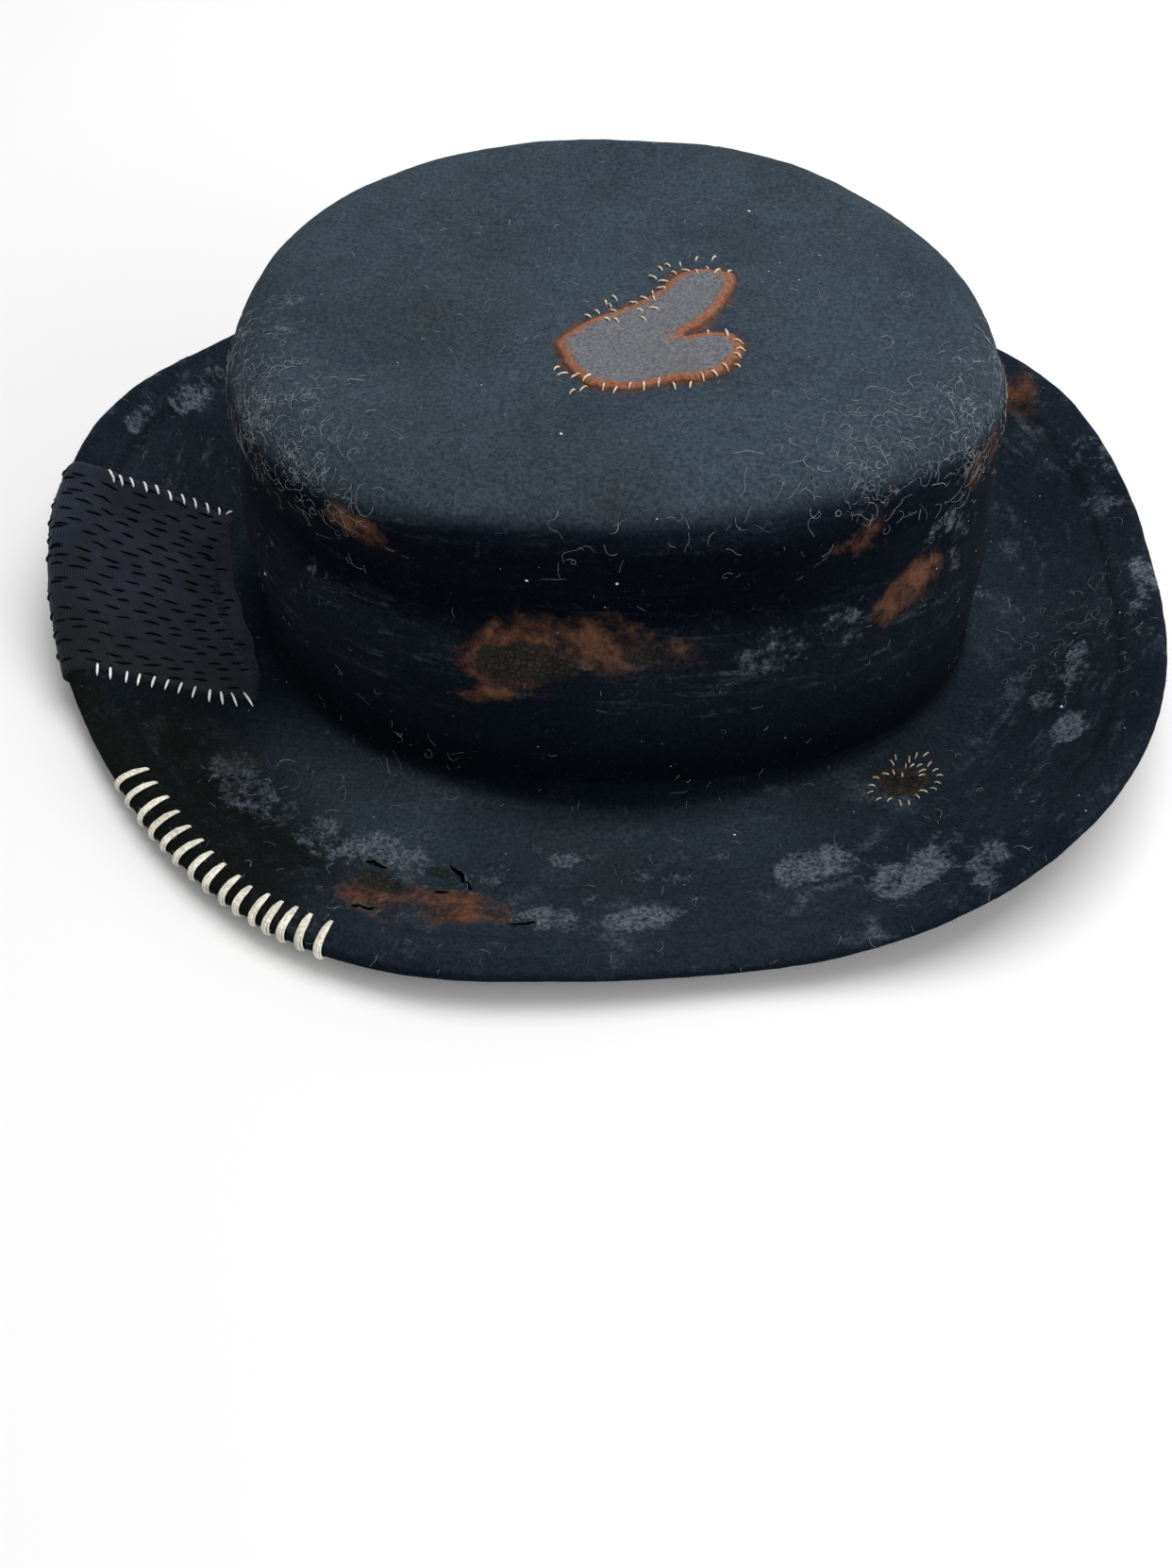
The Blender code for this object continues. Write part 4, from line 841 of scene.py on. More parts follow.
def build_felt():
    grid, n_out, n_cap, nt = felt_grid()
    rows = len(grid)
    P = grid.reshape(-1, 3)
    # normals from the grid itself
    du = np.roll(grid, -1, 1) - np.roll(grid, 1, 1)
    dv = np.zeros_like(grid)
    dv[1:-1] = grid[2:] - grid[:-2]
    dv[0] = grid[1] - grid[0]
    dv[-1] = grid[-1] - grid[-2]
    N = np.cross(dv.reshape(-1, 3), du.reshape(-1, 3))
    N /= np.linalg.norm(N, axis=1)[:, None] + 1e-12
    if N[n_cap // 2 * nt][2] < 0:
        N = -N
    row = np.repeat(np.arange(rows), nt)
    out = (row < n_out).astype(float)
    under_brim = ((row >= n_out) & (P[:, 2] < 60 * MM) & (np.hypot(P[:, 0] / CROWN_HALF_LENGTH, P[:, 1] / CROWN_HALF_WIDTH) > 1.06)).astype(float)
    act = np.maximum(out, under_brim * 0.6)
    masks = mark_masks(P, N)
    wall = (P[:, 2] > 9 * MM) & (np.hypot(P[:, 0], P[:, 1]) < 112 * MM)
    lump = fbm(P, 46 * MM, 3, 1) * np.where(wall, 1.1, 0.55) * MM
    small = fbm(P, 11 * MM, 3, 2) * 0.26 * MM + fbm(P, 3.2 * MM, 2, 3) * 0.10 * MM
    cap_zone = row < n_cap + 4
    lump[cap_zone] *= 0.7
    lump -= masks["abr"] * 0.10 * MM + masks["char"] * 0.45 * MM * (0.5 + 0.5 * fbm(P, 4 * MM, 2, 8)) + masks["rust"] * 0.12 * MM
    edge_row = grid[n_out - 6]
    from_edge = np.linalg.norm(grid[:, :, :2] - edge_row[None, :, :2], axis=2).reshape(-1)
    welt = np.exp(-((from_edge - 11 * MM) / (0.7 * MM)) ** 2) * (out > 0.5) * (P[:, 2] < 45 * MM)
    lump -= welt * 0.07 * MM
    keep_rest = np.where((P[:, 2] < 1.2 * MM) & (out < 0.5), 0.0, 1.0)
    # small cuts in the brim, opened a little
    for (x0, y0), (x1, y1), deep in CUTS:
        a, b = np.array([x0, y0]) * MM, np.array([x1, y1]) * MM
        t = np.clip(((P[:, :2] - a) @ (b - a)) / ((b - a) @ (b - a)), 0, 1)
        near = np.linalg.norm(P[:, :2] - (a + t[:, None] * (b - a)), axis=1)
        on = (out > 0.5) & (N[:, 2] > 0.3) & (P[:, 2] < 40 * MM)
        lump += np.where(on, smooth(near, 2.6 * MM, 1.0 * MM) * 0.45 * MM - smooth(near, 1.1 * MM, 0.2 * MM) * deep * MM, 0.0)
    D = (lump + small) * act * keep_rest
    P = P + N * D[:, None]
    floor_ok = np.maximum(P[:, 2], 0.0)
    P[:, 2] = np.where(out + under_brim > 0, floor_ok, P[:, 2])

    faces = []
    idx = np.arange(rows * nt).reshape(rows, nt)
    a = idx[:-1]
    b = np.roll(idx, -1, 1)[:-1]
    c = np.roll(idx, -1, 1)[1:]
    d = idx[1:]
    quads = np.stack([a, d, c, b], -1).reshape(-1, 4)
    obj = mesh_object("felt_hat_body", P, quads, felt_material())
    # close both poles
    bm = bmesh.new()
    bm.from_mesh(obj.data)
    bm.verts.ensure_lookup_table()
    for ring, z in ((idx[0], P[idx[0]][:, 2].mean()), (idx[-1], P[idx[-1]][:, 2].mean())):
        mid = P[ring].mean(0)
        v = bm.verts.new((mid[0], mid[1], z))
        bm.verts.ensure_lookup_table()
        for i in range(nt):
            bm.faces.new((bm.verts[int(ring[i])], bm.verts[int(ring[(i + 1) % nt])], v))
        bm.verts.ensure_lookup_table()
    bmesh.ops.recalc_face_normals(bm, faces=bm.faces)
    bm.to_mesh(obj.data)
    bm.free()
    obj.data.shade_smooth()

    def padded(v, a, b):
        return np.concatenate([v, [a, b]])

    up = np.clip(N[:, 2], 0, 1)
    round_way = np.hypot(P[:, 0] / CROWN_HALF_LENGTH, P[:, 1] / CROWN_HALF_WIDTH)
    crown_top = smooth(P[:, 2], 80 * MM, 92 * MM) * out
    on_the_brim = smooth(round_way, 0.99, 1.07) * out * up * (P[:, 2] < 60 * MM)
    ang = np.degrees(np.arctan2(P[:, 1], P[:, 0])) % 360
    cloudy = fbm(P, 30 * MM, 3, 21)

    def around(middle, width):
        gap = np.abs((ang - middle + 180) % 360 - 180)
        return smooth(gap, width, width * 0.45)

    # painted shade on the left front brim between the side patch and the lacing, where the brim faces away from the
    # light: less grey wear there
    left_brim_shade_zone = around(222, 26)
    # painted light on the brim: lighter by the side of the hat it lies on, lighter near the crown at the front where
    # the crown's shadow falls, and darker near the edge as painted shade of the rolled edge
    brim_painted_light = 0.06 + 0.34 * around(268, 46) + 0.13 * around(332, 50) + 0.12 * around(20, 40) + 0.20 * around(150, 45) + 0.16 * around(80, 60)
    brim_painted_light += 0.24 * around(236, 24) * smooth(from_edge, 18 * MM, 32 * MM)
    brim_painted_light += 0.26 * around(262, 60) * smooth(from_edge, 30 * MM, 48 * MM)
    brim_painted_light *= 0.55 + 0.45 * smooth(from_edge, 2 * MM, 12 * MM)
    # painted light: the crown top and the brim are made lighter the more they face up, as light from above falls
    top = crown_top * (0.98 + 0.40 * cloudy) * smooth(up, 0.10 + 0.24 * around(285, 60), 0.62 + 0.14 * around(285, 60)) + on_the_brim * np.clip(brim_painted_light + 0.08 * cloudy, 0.0, 1)
    # painted highlight: a lighter band low on the crown wall, where the bulge catches the light
    bulge_painted_highlight = np.exp(-((P[:, 2] - 44 * MM) / (14 * MM)) ** 2) * wall * (0.05 + 0.10 * around(300, 40))
    top = np.clip(top + bulge_painted_highlight, 0, 1.3)
    # painted shade: the dark mask darkens the wall under the shoulder at the front, low on the wall, in the crease at
    # the crown's foot and along the welt groove
    shade_under_shoulder = smooth(P[:, 2], 92 * MM, 84 * MM) * smooth(P[:, 2], 54 * MM, 68 * MM) * wall * around(258, 85)
    painted_shade = np.maximum(smooth(P[:, 2], 34 * MM, 12 * MM) * wall * 0.9, shade_under_shoulder)
    painted_shade = np.maximum(painted_shade, smooth(P[:, 2], 92 * MM, 80 * MM) * wall * 0.35)
    base_crease_shade = np.exp(-((round_way - 1.01) / 0.025) ** 2) * (P[:, 2] < 9 * MM) * 0.4
    painted_shade = np.maximum(painted_shade, base_crease_shade) + 0.18 * welt * out
    set_float(obj, "top", padded(top, 1.0, 0.0))
    set_float(obj, "painted_shade", padded(np.clip(painted_shade, 0, 1) * out, 0, 0))
    band = np.exp(-((P[:, 2] - 48 * MM) / (15 * MM)) ** 2) * wall * (0.35 + 0.65 * np.clip(0.5 + cloudy, 0, 1)) * around(270, 95)
    set_float(obj, "brim", padded(np.clip(on_the_brim * (1 - 0.7 * np.clip(left_brim_shade_zone, 0, 1)) + band + 0.55 * crown_top * smooth(round_way, 0.72, 0.98) * (0.4 + cloudy), 0, 1), 0, 0))
    # painted shade: the green mask turns the left front brim and its edge greenish near-black
    left_brim_shade = around(226, 26) * smooth(from_edge, 44 * MM, 22 * MM) * on_the_brim + around(222, 30) * smooth(from_edge, 9 * MM, 4 * MM) * out * (P[:, 2] < 40 * MM)
    masks["green_shade"] = np.maximum(masks["green_shade"], np.clip(left_brim_shade, 0, 1))
    for k, v in masks.items():
        set_float(obj, k, padded(v * act, 0, 0))
    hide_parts("felt_body")
    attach(obj, "root")
    return obj, P, N, masks, idx, n_out


# ---- surface lookup -----------------------------------------------------
class Surface:
    def __init__(self, obj):
        from mathutils.bvhtree import BVHTree
        me = obj.data
        co = np.empty(len(me.vertices) * 3)
        me.vertices.foreach_get("co", co)
        self.tree = BVHTree.FromPolygons([tuple(c) for c in co.reshape(-1, 3)],
                                         [tuple(p.vertices) for p in me.polygons])

    def near(self, p):
        q, n, _, _ = self.tree.find_nearest(Vector(p))
        return np.array(q), np.array(n)

    def down(self, x, y, z=0.2):
        q, n, _, _ = self.tree.ray_cast(Vector((x, y, z)), Vector((0, 0, -1)))
        return np.array(q), np.array(n)

    def brim(self, deg, e, lift):
        q, n = self.near(on_brim(math.radians(deg), e * MM, 0.0))
        return q + n * lift


def arc_stitch(surface, p0, p1, rise, sink, points=7, lift=0.0):
    """A stitch lying over the cloth, its two ends dipping in. p0, p1 are points above the surface."""
    out = []
    for k in range(points):
        s = k / (points - 1)
        p = np.array(p0) * (1 - s) + np.array(p1) * s
        q, n = surface.down(p[0], p[1])
        h = -sink + (rise + sink) * abs(math.sin(math.pi * s)) ** 0.6 + lift
        out.append(q + n * h)
    return np.array(out)


# ---- heart patch --------------------------------------------------------
def catmull(points, per):
    pts = np.array(points, float)
    n = len(pts)
    out = []
    for i in range(n):
        a, b, c, d = pts[i - 1], pts[i], pts[(i + 1) % n], pts[(i + 2) % n]
        for j in range(per):
            s = j / per
            out.append(0.5 * (2 * b + (c - a) * s + (2 * a - 5 * b + 4 * c - d) * s * s + (3 * b - a - 3 * c + d) * s ** 3))
    return np.array(out)


def edge_distance(xy, outline):
    best = np.full(len(xy), 1e9)
    for a, b in zip(outline, np.roll(outline, -1, 0)):
        ab = b - a
        t = np.clip(((xy - a) @ ab) / (ab @ ab), 0, 1)
        best = np.minimum(best, np.linalg.norm(xy - (a + t[:, None] * ab), axis=1))
    return best


def inside_outline(xy, outline):
    c = np.zeros(len(xy), bool)
    for (x0, y0), (x1, y1) in zip(outline, np.roll(outline, -1, 0)):
        cross = (y0 > xy[:, 1]) != (y1 > xy[:, 1])
        xi = (x1 - x0) * (xy[:, 1] - y0) / (y1 - y0 + 1e-15) + x0
        c ^= cross & (xy[:, 0] < xi)
    return c


def build_heart(surface):
    from mathutils.geometry import delaunay_2d_cdt
    base = catmull(HEART_POINTS, 14) * MM + np.array(HEART_CENTRE)
    wob = fbm(np.column_stack([base, np.zeros(len(base))]), 2.2 * MM, 2, 31)
    mid = base.mean(0)
    out = base - mid
    outline = mid + out * (1 + 0.55 * MM * wob / np.linalg.norm(out, axis=1))[:, None]
    lo, hi = outline.min(0), outline.max(0)
    step = 0.75 * MM
    gx, gy = np.meshgrid(np.arange(lo[0], hi[0], step), np.arange(lo[1], hi[1], step))
    pts = np.column_stack([gx.ravel(), gy.ravel()]) + RNG.uniform(-0.15, 0.15, (gx.size, 2)) * MM
    keep = inside_outline(pts, outline)
    pts = pts[keep]
    pts = pts[edge_distance(pts, outline) > 0.45 * MM]
    all_pts = np.vstack([outline, pts])
    n = len(outline)
    edges = [(i, (i + 1) % n) for i in range(n)]
    v2, _, f2, _, _, _ = delaunay_2d_cdt([Vector(map(float, p)) for p in all_pts], edges, [], 1, 1e-9)
    xy = np.array([tuple(v) for v in v2])
    d = edge_distance(xy, outline)
    P3 = np.column_stack([xy, np.zeros(len(xy))])
    lumps = fbm(P3, 6 * MM, 3, 33) * 0.16 * MM + fbm(P3, 1.6 * MM, 2, 34) * 0.09 * MM
    h = 0.12 * MM + 0.62 * MM * smooth(d, 0, 1.5 * MM) + lumps * smooth(d, 0.1 * MM, 1.2 * MM)
    base3 = np.array([surface.down(x, y)[0] for x, y in xy])
    top = base3 + np.array([0, 0, 1.0]) * h[:, None]
    low = base3 - np.array([0, 0, 0.25 * MM])
    m = len(xy)
    faces = [tuple(f) for f in f2] + [tuple(m + i for i in f[::-1]) for f in f2]
    rim = [i for i in range(m) if d[i] < 1e-7]
    order = {}
    count = {}
    for f in f2:
        for a, b in zip(f, f[1:] + f[:1]):
            count[(a, b)] = 1
    for (a, b) in list(count):
        if (b, a) not in count:
            faces.append((b, a, m + a, m + b))
    obj = mesh_object("heart_felt_patch", np.vstack([top, low]), faces, patch_grey_material())
    fix_normals(obj)
    e = smooth(d, 5.2 * MM, 0.3 * MM)
    cleft = np.linalg.norm(xy - np.array([17.5, -21.5]) * MM, axis=1)
    e = np.maximum(e, 0.44 * smooth(cleft, 7.5 * MM, 1.5 * MM))
    set_float(obj, "edge", np.concatenate([e, e]))
    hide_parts("heart_patch")
    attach(obj, "root")

    # stitches across the border, in runs, the upper left doubled
    n = len(base)
    nxt = np.roll(base, -1, 0) - np.roll(base, 1, 0)
    nxt /= np.linalg.norm(nxt, axis=1)[:, None]
    outward = np.column_stack([nxt[:, 1], -nxt[:, 0]])
    if ((base + outward * MM - mid) ** 2).sum() < ((base - outward * MM - mid) ** 2).sum():
        outward = -outward
    paths, radii = [], []
    for x, y, along in HEART_SEWN:
        c = np.array([x, y]) * MM
        i = int(np.argmin(np.linalg.norm(base - c, axis=1)))
        o = outward[i]
        if along:
            o = np.array([0.85, -0.53]) if RNG.uniform() < 0.6 else np.array([0.35, -0.94])
        ang = math.radians(RNG.uniform(-24, 24))
        o = np.array([o[0] * math.cos(ang) - o[1] * math.sin(ang), o[0] * math.sin(ang) + o[1] * math.cos(ang)])
        half = RNG.uniform(0.95, 1.6) * MM
        a, b = c - o * half, c + o * half
        path = arc_stitch(surface, (*a, 0), (*b, 0), 0.40 * MM, 0.22 * MM, 7)
        within = inside_outline(path[:, :2], outline).astype(float) * 2 - 1
        gap = edge_distance(path[:, :2], outline) * within
        path[:, 2] += 0.70 * MM * smooth(gap, -0.3 * MM, 1.2 * MM)
        paths.append(path)
        radii.append(np.array([0.55, 0.9, 1.0, 1.0, 1.0, 0.9, 0.55]) * RNG.uniform(0.20, 0.29) * MM)
    obj = tubes("heart_stitches", paths, radii, 6,
                thread_material("tan_thread_fibres", (0.42, 0.29, 0.19), (0.80, 0.66, 0.50)))
    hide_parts("heart_thread")
    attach(obj, "root")
    return obj


# ---- darn ---------------------------------------------------------------
def build_darn(surface):
    cx, cy = DARN_MIDDLE[0] * MM, DARN_MIDDLE[1] * MM
    ang = np.linspace(0, 2 * np.pi, 65)[:-1]
    rows = []
    levels = 14
    mat = Nodes("darn_wool")
    fine, grain = mat.noise(900, 3, 0.7), mat.noise(2800, 2, 0.6)
    crack = mat.voronoi(420, "DISTANCE_TO_EDGE")
    edge = mat.attr("edge")
    col = mat.mix(mat.ramp(fine, 0.3, 0.7), (0.0065, 0.0062, 0.0060), (0.026, 0.022, 0.020))
    col = mat.mix(mat.ramp(edge, 0.35, 0.9), col, (0.030, 0.022, 0.017))
    col = mat.mix(mat.ramp(crack, 0.0, 0.1, 0.8, 0.0), col, (0.004, 0.004, 0.004))
    mat.surface(col, 0.9, mat.bump(mat.math("ADD", fine, grain), 0.0005, 0.9), 0.1)
    for k in range(levels + 1):
        s = k / levels
        ring = []
        for a in ang:
            w = 1 + 0.10 * math.sin(3 * a + 0.7) + 0.06 * math.sin(5 * a)
            x = cx + DARN_HALF_X * MM * s * w * math.cos(a)
            y = cy + DARN_HALF_Y * MM * s * w * math.sin(a)
            q, n = surface.down(x, y)
            bump = 0.10 * math.sin(40 * x / MM * 0.07) * math.cos(37 * y / MM * 0.07)
            ring.append(q + n * MM * (0.32 - 0.42 * s ** 6 + bump * (1 - s)))
        rows.append(ring)
    rows = np.array(rows)
    under = rows[::4] - np.array([0, 0, 0.7 * MM])
    under[-1] = rows[-1] - np.array([0, 0, 0.3 * MM])
    pts = rows[1:].reshape(-1, 3)
    n = len(ang)
    faces = []
    for k in range(levels - 1):
        for i in range(n):
            h = (i + 1) % n
            faces.append((k * n + i, (k + 1) * n + i, (k + 1) * n + h, k * n + h))
    pts = np.vstack([pts, rows[0].mean(0)[None], rows[-1] - np.array([0, 0, 0.35 * MM]), rows[0].mean(0)[None] - np.array([0, 0, 0.7 * MM])])
    c0 = levels * n
    for i in range(n):
        h = (i + 1) % n
        faces.append((c0, i, h))
        top = (levels - 1) * n
        faces.append((top + i, c0 + 1 + i, c0 + 1 + h, top + h))
        faces.append((c0 + 1 + n, c0 + 1 + h, c0 + 1 + i))
    obj = mesh_object("darn_oval", pts, faces, mat.mat)
    fix_normals(obj)
    lev = np.repeat(np.arange(1, levels + 1) / levels, n)
    set_float(obj, "edge", np.concatenate([lev, [0], np.ones(n), [0]]))
    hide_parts("darn_patch")
    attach(obj, "root")
    paths, radii = [], []
    for x, y in DARN_STITCHES:
        x, y = x * MM, y * MM
        d = np.array([x - cx, y - cy])
        d /= np.linalg.norm(d)
        a = math.radians(RNG.uniform(-22, 22))
        d = np.array([d[0] * math.cos(a) - d[1] * math.sin(a), d[0] * math.sin(a) + d[1] * math.cos(a)])
        half = RNG.uniform(0.9, 1.35) * MM
        p0, p1 = (x - d[0] * half, y - d[1] * half, 0), (x + d[0] * half, y + d[1] * half, 0)
        paths.append(arc_stitch(surface, p0, p1, 0.42 * MM, 0.2 * MM, 7))
        radii.append(np.array([0.5, 0.9, 1.0, 1.0, 1.0, 0.9, 0.5]) * RNG.uniform(0.2, 0.27) * MM)
    obj = tubes("darn_stitches", paths, radii, 6,
                thread_material("darn_thread_fibres", (0.34, 0.25, 0.16), (0.66, 0.55, 0.42)))
    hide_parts("darn_thread")
    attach(obj, "root")


# ---- side patch ---------------------------------------------------------
def patch_deg(p, e):
    rear = PATCH_REAR + PATCH_REAR_SLANT * abs(e)
    front = PATCH_FRONT + PATCH_FRONT_SLANT * e * e
    return rear + (front - rear) * p


def patch_depth(p):
    """The inner edge is not straight: it frays and drifts."""
    return 50.4 - 3.2 * p + 8.6 * math.sin(math.pi * p) + 0.35 * math.sin(9 * p) + 0.3 * math.sin(31 * p + 1)


def build_side_patch(surface):
    cols = 84
    es_top = np.linspace(1.0, 0.0, 74) ** 0.94
    over, under, us, vs, low = [], [], [], [], []
    tail = [0, -0.6, -1.2, -1.9, -2.6, -3.3, -4.2, -5.5, -7, -9, -11.5, -14, -17, -19.5]
    rows = len(es_top) + len(tail)
    for r in range(rows):
        ro, ru = [], []
        for c in range(cols):
            p = c / (cols - 1)
            e = es_top[r] * patch_depth(p) + 0.15 if r < len(es_top) else tail[r - len(es_top)]
            jag = 0.0
            if c in (0, cols - 1):
                jag = 0.25 * math.sin(r * 1.9) + 0.15 * math.sin(r * 4.3)
            deg = patch_deg(p, e) + jag * 0.35
            q, n = surface.near(on_brim(math.radians(deg), e * MM, 0.0))
            edge = min(p, 1 - p) * 80
            lift = 0.62 + 0.3 * math.exp(-((e - 1.0) / 4.0) ** 2)
            if e > 0:
                lift *= smooth(np.array(edge), -0.6, 2.2) * 0.6 + 0.4
            inner = patch_depth(p) - e
            lift *= float(smooth(np.array(inner), -1.0, 2.5)) * 0.75 + 0.25
            pucker = 0.16 * math.sin(p * 46 + 0.6 * math.sin(e * 0.5)) * math.exp(-min(edge, 12) / 4.0)
            pt = np.array([[q[0], q[1], q[2]]])
            wr = 0.13 * math.sin(2 * math.pi * e / 6.6 + 1.2 * math.sin(p * 7)) + float(fbm(pt, 9 * MM, 2, 51)[0]) * 0.35 + float(fbm(pt * np.array([1, 2.2, 1]), 3.5 * MM, 2, 52)[0]) * 0.18
            top_h = max(0.22, lift + (wr + pucker) * (1 if e > -3 else 0.3))
            ro.append(q + n * top_h * MM)
            ru.append(q - n * 0.05 * MM)
            us.append(p * 76)
            vs.append(e)
            low.append(float(smooth(np.array(p * 1.25 + (1 - max(e, 0) / 50) * 0.45), 0.85, 1.45)))
        over.append(ro)
        under.append(ru)
    over, under = np.array(over), np.array(under)
    n = rows * cols
    idx = np.arange(n).reshape(rows, cols)
    q = np.stack([idx[:-1, :-1], idx[1:, :-1], idx[1:, 1:], idx[:-1, 1:]], -1).reshape(-1, 4)
    faces = [tuple(map(int, f)) for f in q] + [tuple(int(v) + n for v in f[::-1]) for f in q]
    rim = [idx[0, c] for c in range(cols)] + [idx[r, -1] for r in range(1, rows)]
    rim += [idx[-1, c] for c in range(cols - 2, -1, -1)] + [idx[r, 0] for r in range(rows - 2, 0, -1)]
    for a, b in zip(rim, rim[1:] + rim[:1]):
        faces.append((int(a), int(b), int(b) + n, int(a) + n))
    obj = mesh_object("woven_side_patch", np.vstack([over.reshape(-1, 3), under.reshape(-1, 3)]), faces, woven_material())
    fix_normals(obj)
    set_float(obj, "u", us + us)
    set_float(obj, "v", vs + vs)
    set_float(obj, "low", low + low)
    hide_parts("side_patch")
    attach(obj, "root")

    def spot(p, e, lift):
        inward = np.concatenate([es_top * patch_depth(p) + 0.15, tail])[::-1]
        r = np.interp(e, inward, np.arange(rows)[::-1])
        c = min(max(p, 0), 1) * (cols - 1)
        i, j = int(min(r, rows - 2)), int(min(c, cols - 2))
        f, g = r - i, c - j
        q = (over[i, j] * (1 - f) * (1 - g) + over[i + 1, j] * f * (1 - g) + over[i, j + 1] * (1 - f) * g + over[i + 1, j + 1] * f * g)
        nn = np.cross(over[i + 1, j] - over[i, j], over[i, j + 1] - over[i, j])
        nn /= np.linalg.norm(nn)
        ref, rn = surface.near(q)
        if nn @ rn < 0:
            nn = -nn
        return q + nn * lift * MM

    # black running stitches: rows along x, staggered; past the edge they follow the fold
    cloth = Surface(obj)
    paths, radii = [], []

    def dash(points):
        paths.append(np.array(points))
        radii.append(np.array([0.4, 0.85, 1, 1, 1, 0.85, 0.4]) * RNG.uniform(0.24, 0.33) * MM)

    def along_row(x):
        s = (x + 165.0) / 70.0
        return 70.0 * (0.42 * s - 0.15 * s * s)

    y = -106.0
    row = 0
    while y < 17.0:
        x = -166.0 + (row % 2) * 3.2 + RNG.uniform(-0.8, 0.8)
        while x < -86.0:
            length = RNG.uniform(2.8, 4.4)
            slope = RNG.normal(-0.04, 0.06)
            drift = RNG.normal(0, 0.35)
            pts, good = [], True
            for s in np.linspace(-0.08, 1.08, 7):
                px, py = (x + length * s) * MM, (y + along_row(x + length * s) + drift + slope * length * s) * MM
                hit, nn, _, _ = cloth.tree.ray_cast(Vector((px, py, 0.2)), Vector((0, 0, -1)))
                ahead, _, _, _ = cloth.tree.ray_cast(Vector((px, py + 1.3 * MM, 0.2)), Vector((0, 0, -1)))
                behind, _, _, _ = cloth.tree.ray_cast(Vector((px, py - 1.3 * MM, 0.2)), Vector((0, 0, -1)))
                if hit is None or ahead is None or behind is None or nn.z < 0.25:
                    good = False
                    break
                pts.append(np.array(hit) + np.array(nn) * (-0.12 + 0.36 * max(0.0, math.sin(math.pi * min(max(s, 0), 1))) ** 0.7) * MM)
            if good and RNG.uniform() < 0.93:
                dash(pts)
            x += RNG.uniform(6.0, 7.4)
        y += RNG.uniform(3.0, 3.7)
        row += 1
    for k, p in enumerate(np.arange(0.05, 0.97, 0.043)):
        for e0 in ((-3.2, 1.4, -9.5, -15.5) if k % 2 else (-1.0, -6.4, -12.6)):
            if RNG.uniform() < 0.85:
                a = e0 + RNG.uniform(-0.6, 0.6)
                dash([spot(p, a + 3.0 * s, -0.12 + 0.36 * abs(math.sin(math.pi * s)) ** 0.7) for s in np.linspace(0, 1, 7)])
    obj = tubes("patch_running_stitches", paths, radii, 6,
                thread_material("black_thread_fibres", (0.0006, 0.0006, 0.0008), (0.0022, 0.0022, 0.0028), 0.7, 1500, 0.0, 0.6, 0.04))
    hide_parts("side_patch_quilting_thread")
    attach(obj, "root")

    white = thread_material("white_thread_fibres", (0.62, 0.62, 0.60), (0.92, 0.92, 0.90))
    for name, spots, node in (("patch_stitches_rear", ROW_REAR, "side_patch_thread_rear"),
                              ("patch_stitches_front", ROW_FRONT, "side_patch_thread_front")):
        paths, radii = [], []
        for deg, e, lean, length in spots:
            q = np.array(on_brim(math.radians(deg), e * MM, 0.0))
            d = np.array([math.sin(math.radians(lean)), math.cos(math.radians(lean))])
            half = length / 2 * MM
            pts = []
            for s in np.linspace(-1, 1, 9):
                x, y = q[0] + d[0] * s * half, q[1] + d[1] * s * half
                hit, nn = surface.down(x, y)
                pts.append(hit + nn * (0.35 + 0.62 * (1 - s * s) ** 0.6) * MM)
            paths.append(np.array(pts))
            radii.append(np.array([0.35, 0.75, 0.95, 1, 1, 1, 0.95, 0.75, 0.4]) * RNG.uniform(0.34, 0.42) * MM)
        obj = tubes(name, paths, radii, 8, white)
        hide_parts(node)
        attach(obj, "root")

    # loose threads along the frayed inner edge
    paths, radii = [], []
    for k in range(260):
        p = RNG.uniform(0.0, 1.0)
        e0 = patch_depth(p) - 0.6
        a = spot(p, min(e0, 49.5), 0.0)
        deg = patch_deg(p, e0)
        L = RNG.uniform(0.8, 2.6)
        b = surface.brim(deg + RNG.uniform(-0.5, 0.5), min(e0 + L, 53), RNG.uniform(0.15, 0.6) * MM)
        m = (a + b) / 2 + RNG.normal(0, 0.25, 3) * MM + np.array([0, 0, 0.2 * MM])
        paths.append(np.array([a, m, b]))
        radii.append(np.array([0.09, 0.08, 0.05]) * MM)
    obj = tubes("patch_fray", paths, radii, 4, thread_material("fray_fibres", (0.010, 0.011, 0.018), (0.035, 0.038, 0.055)))
    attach(obj, "root")


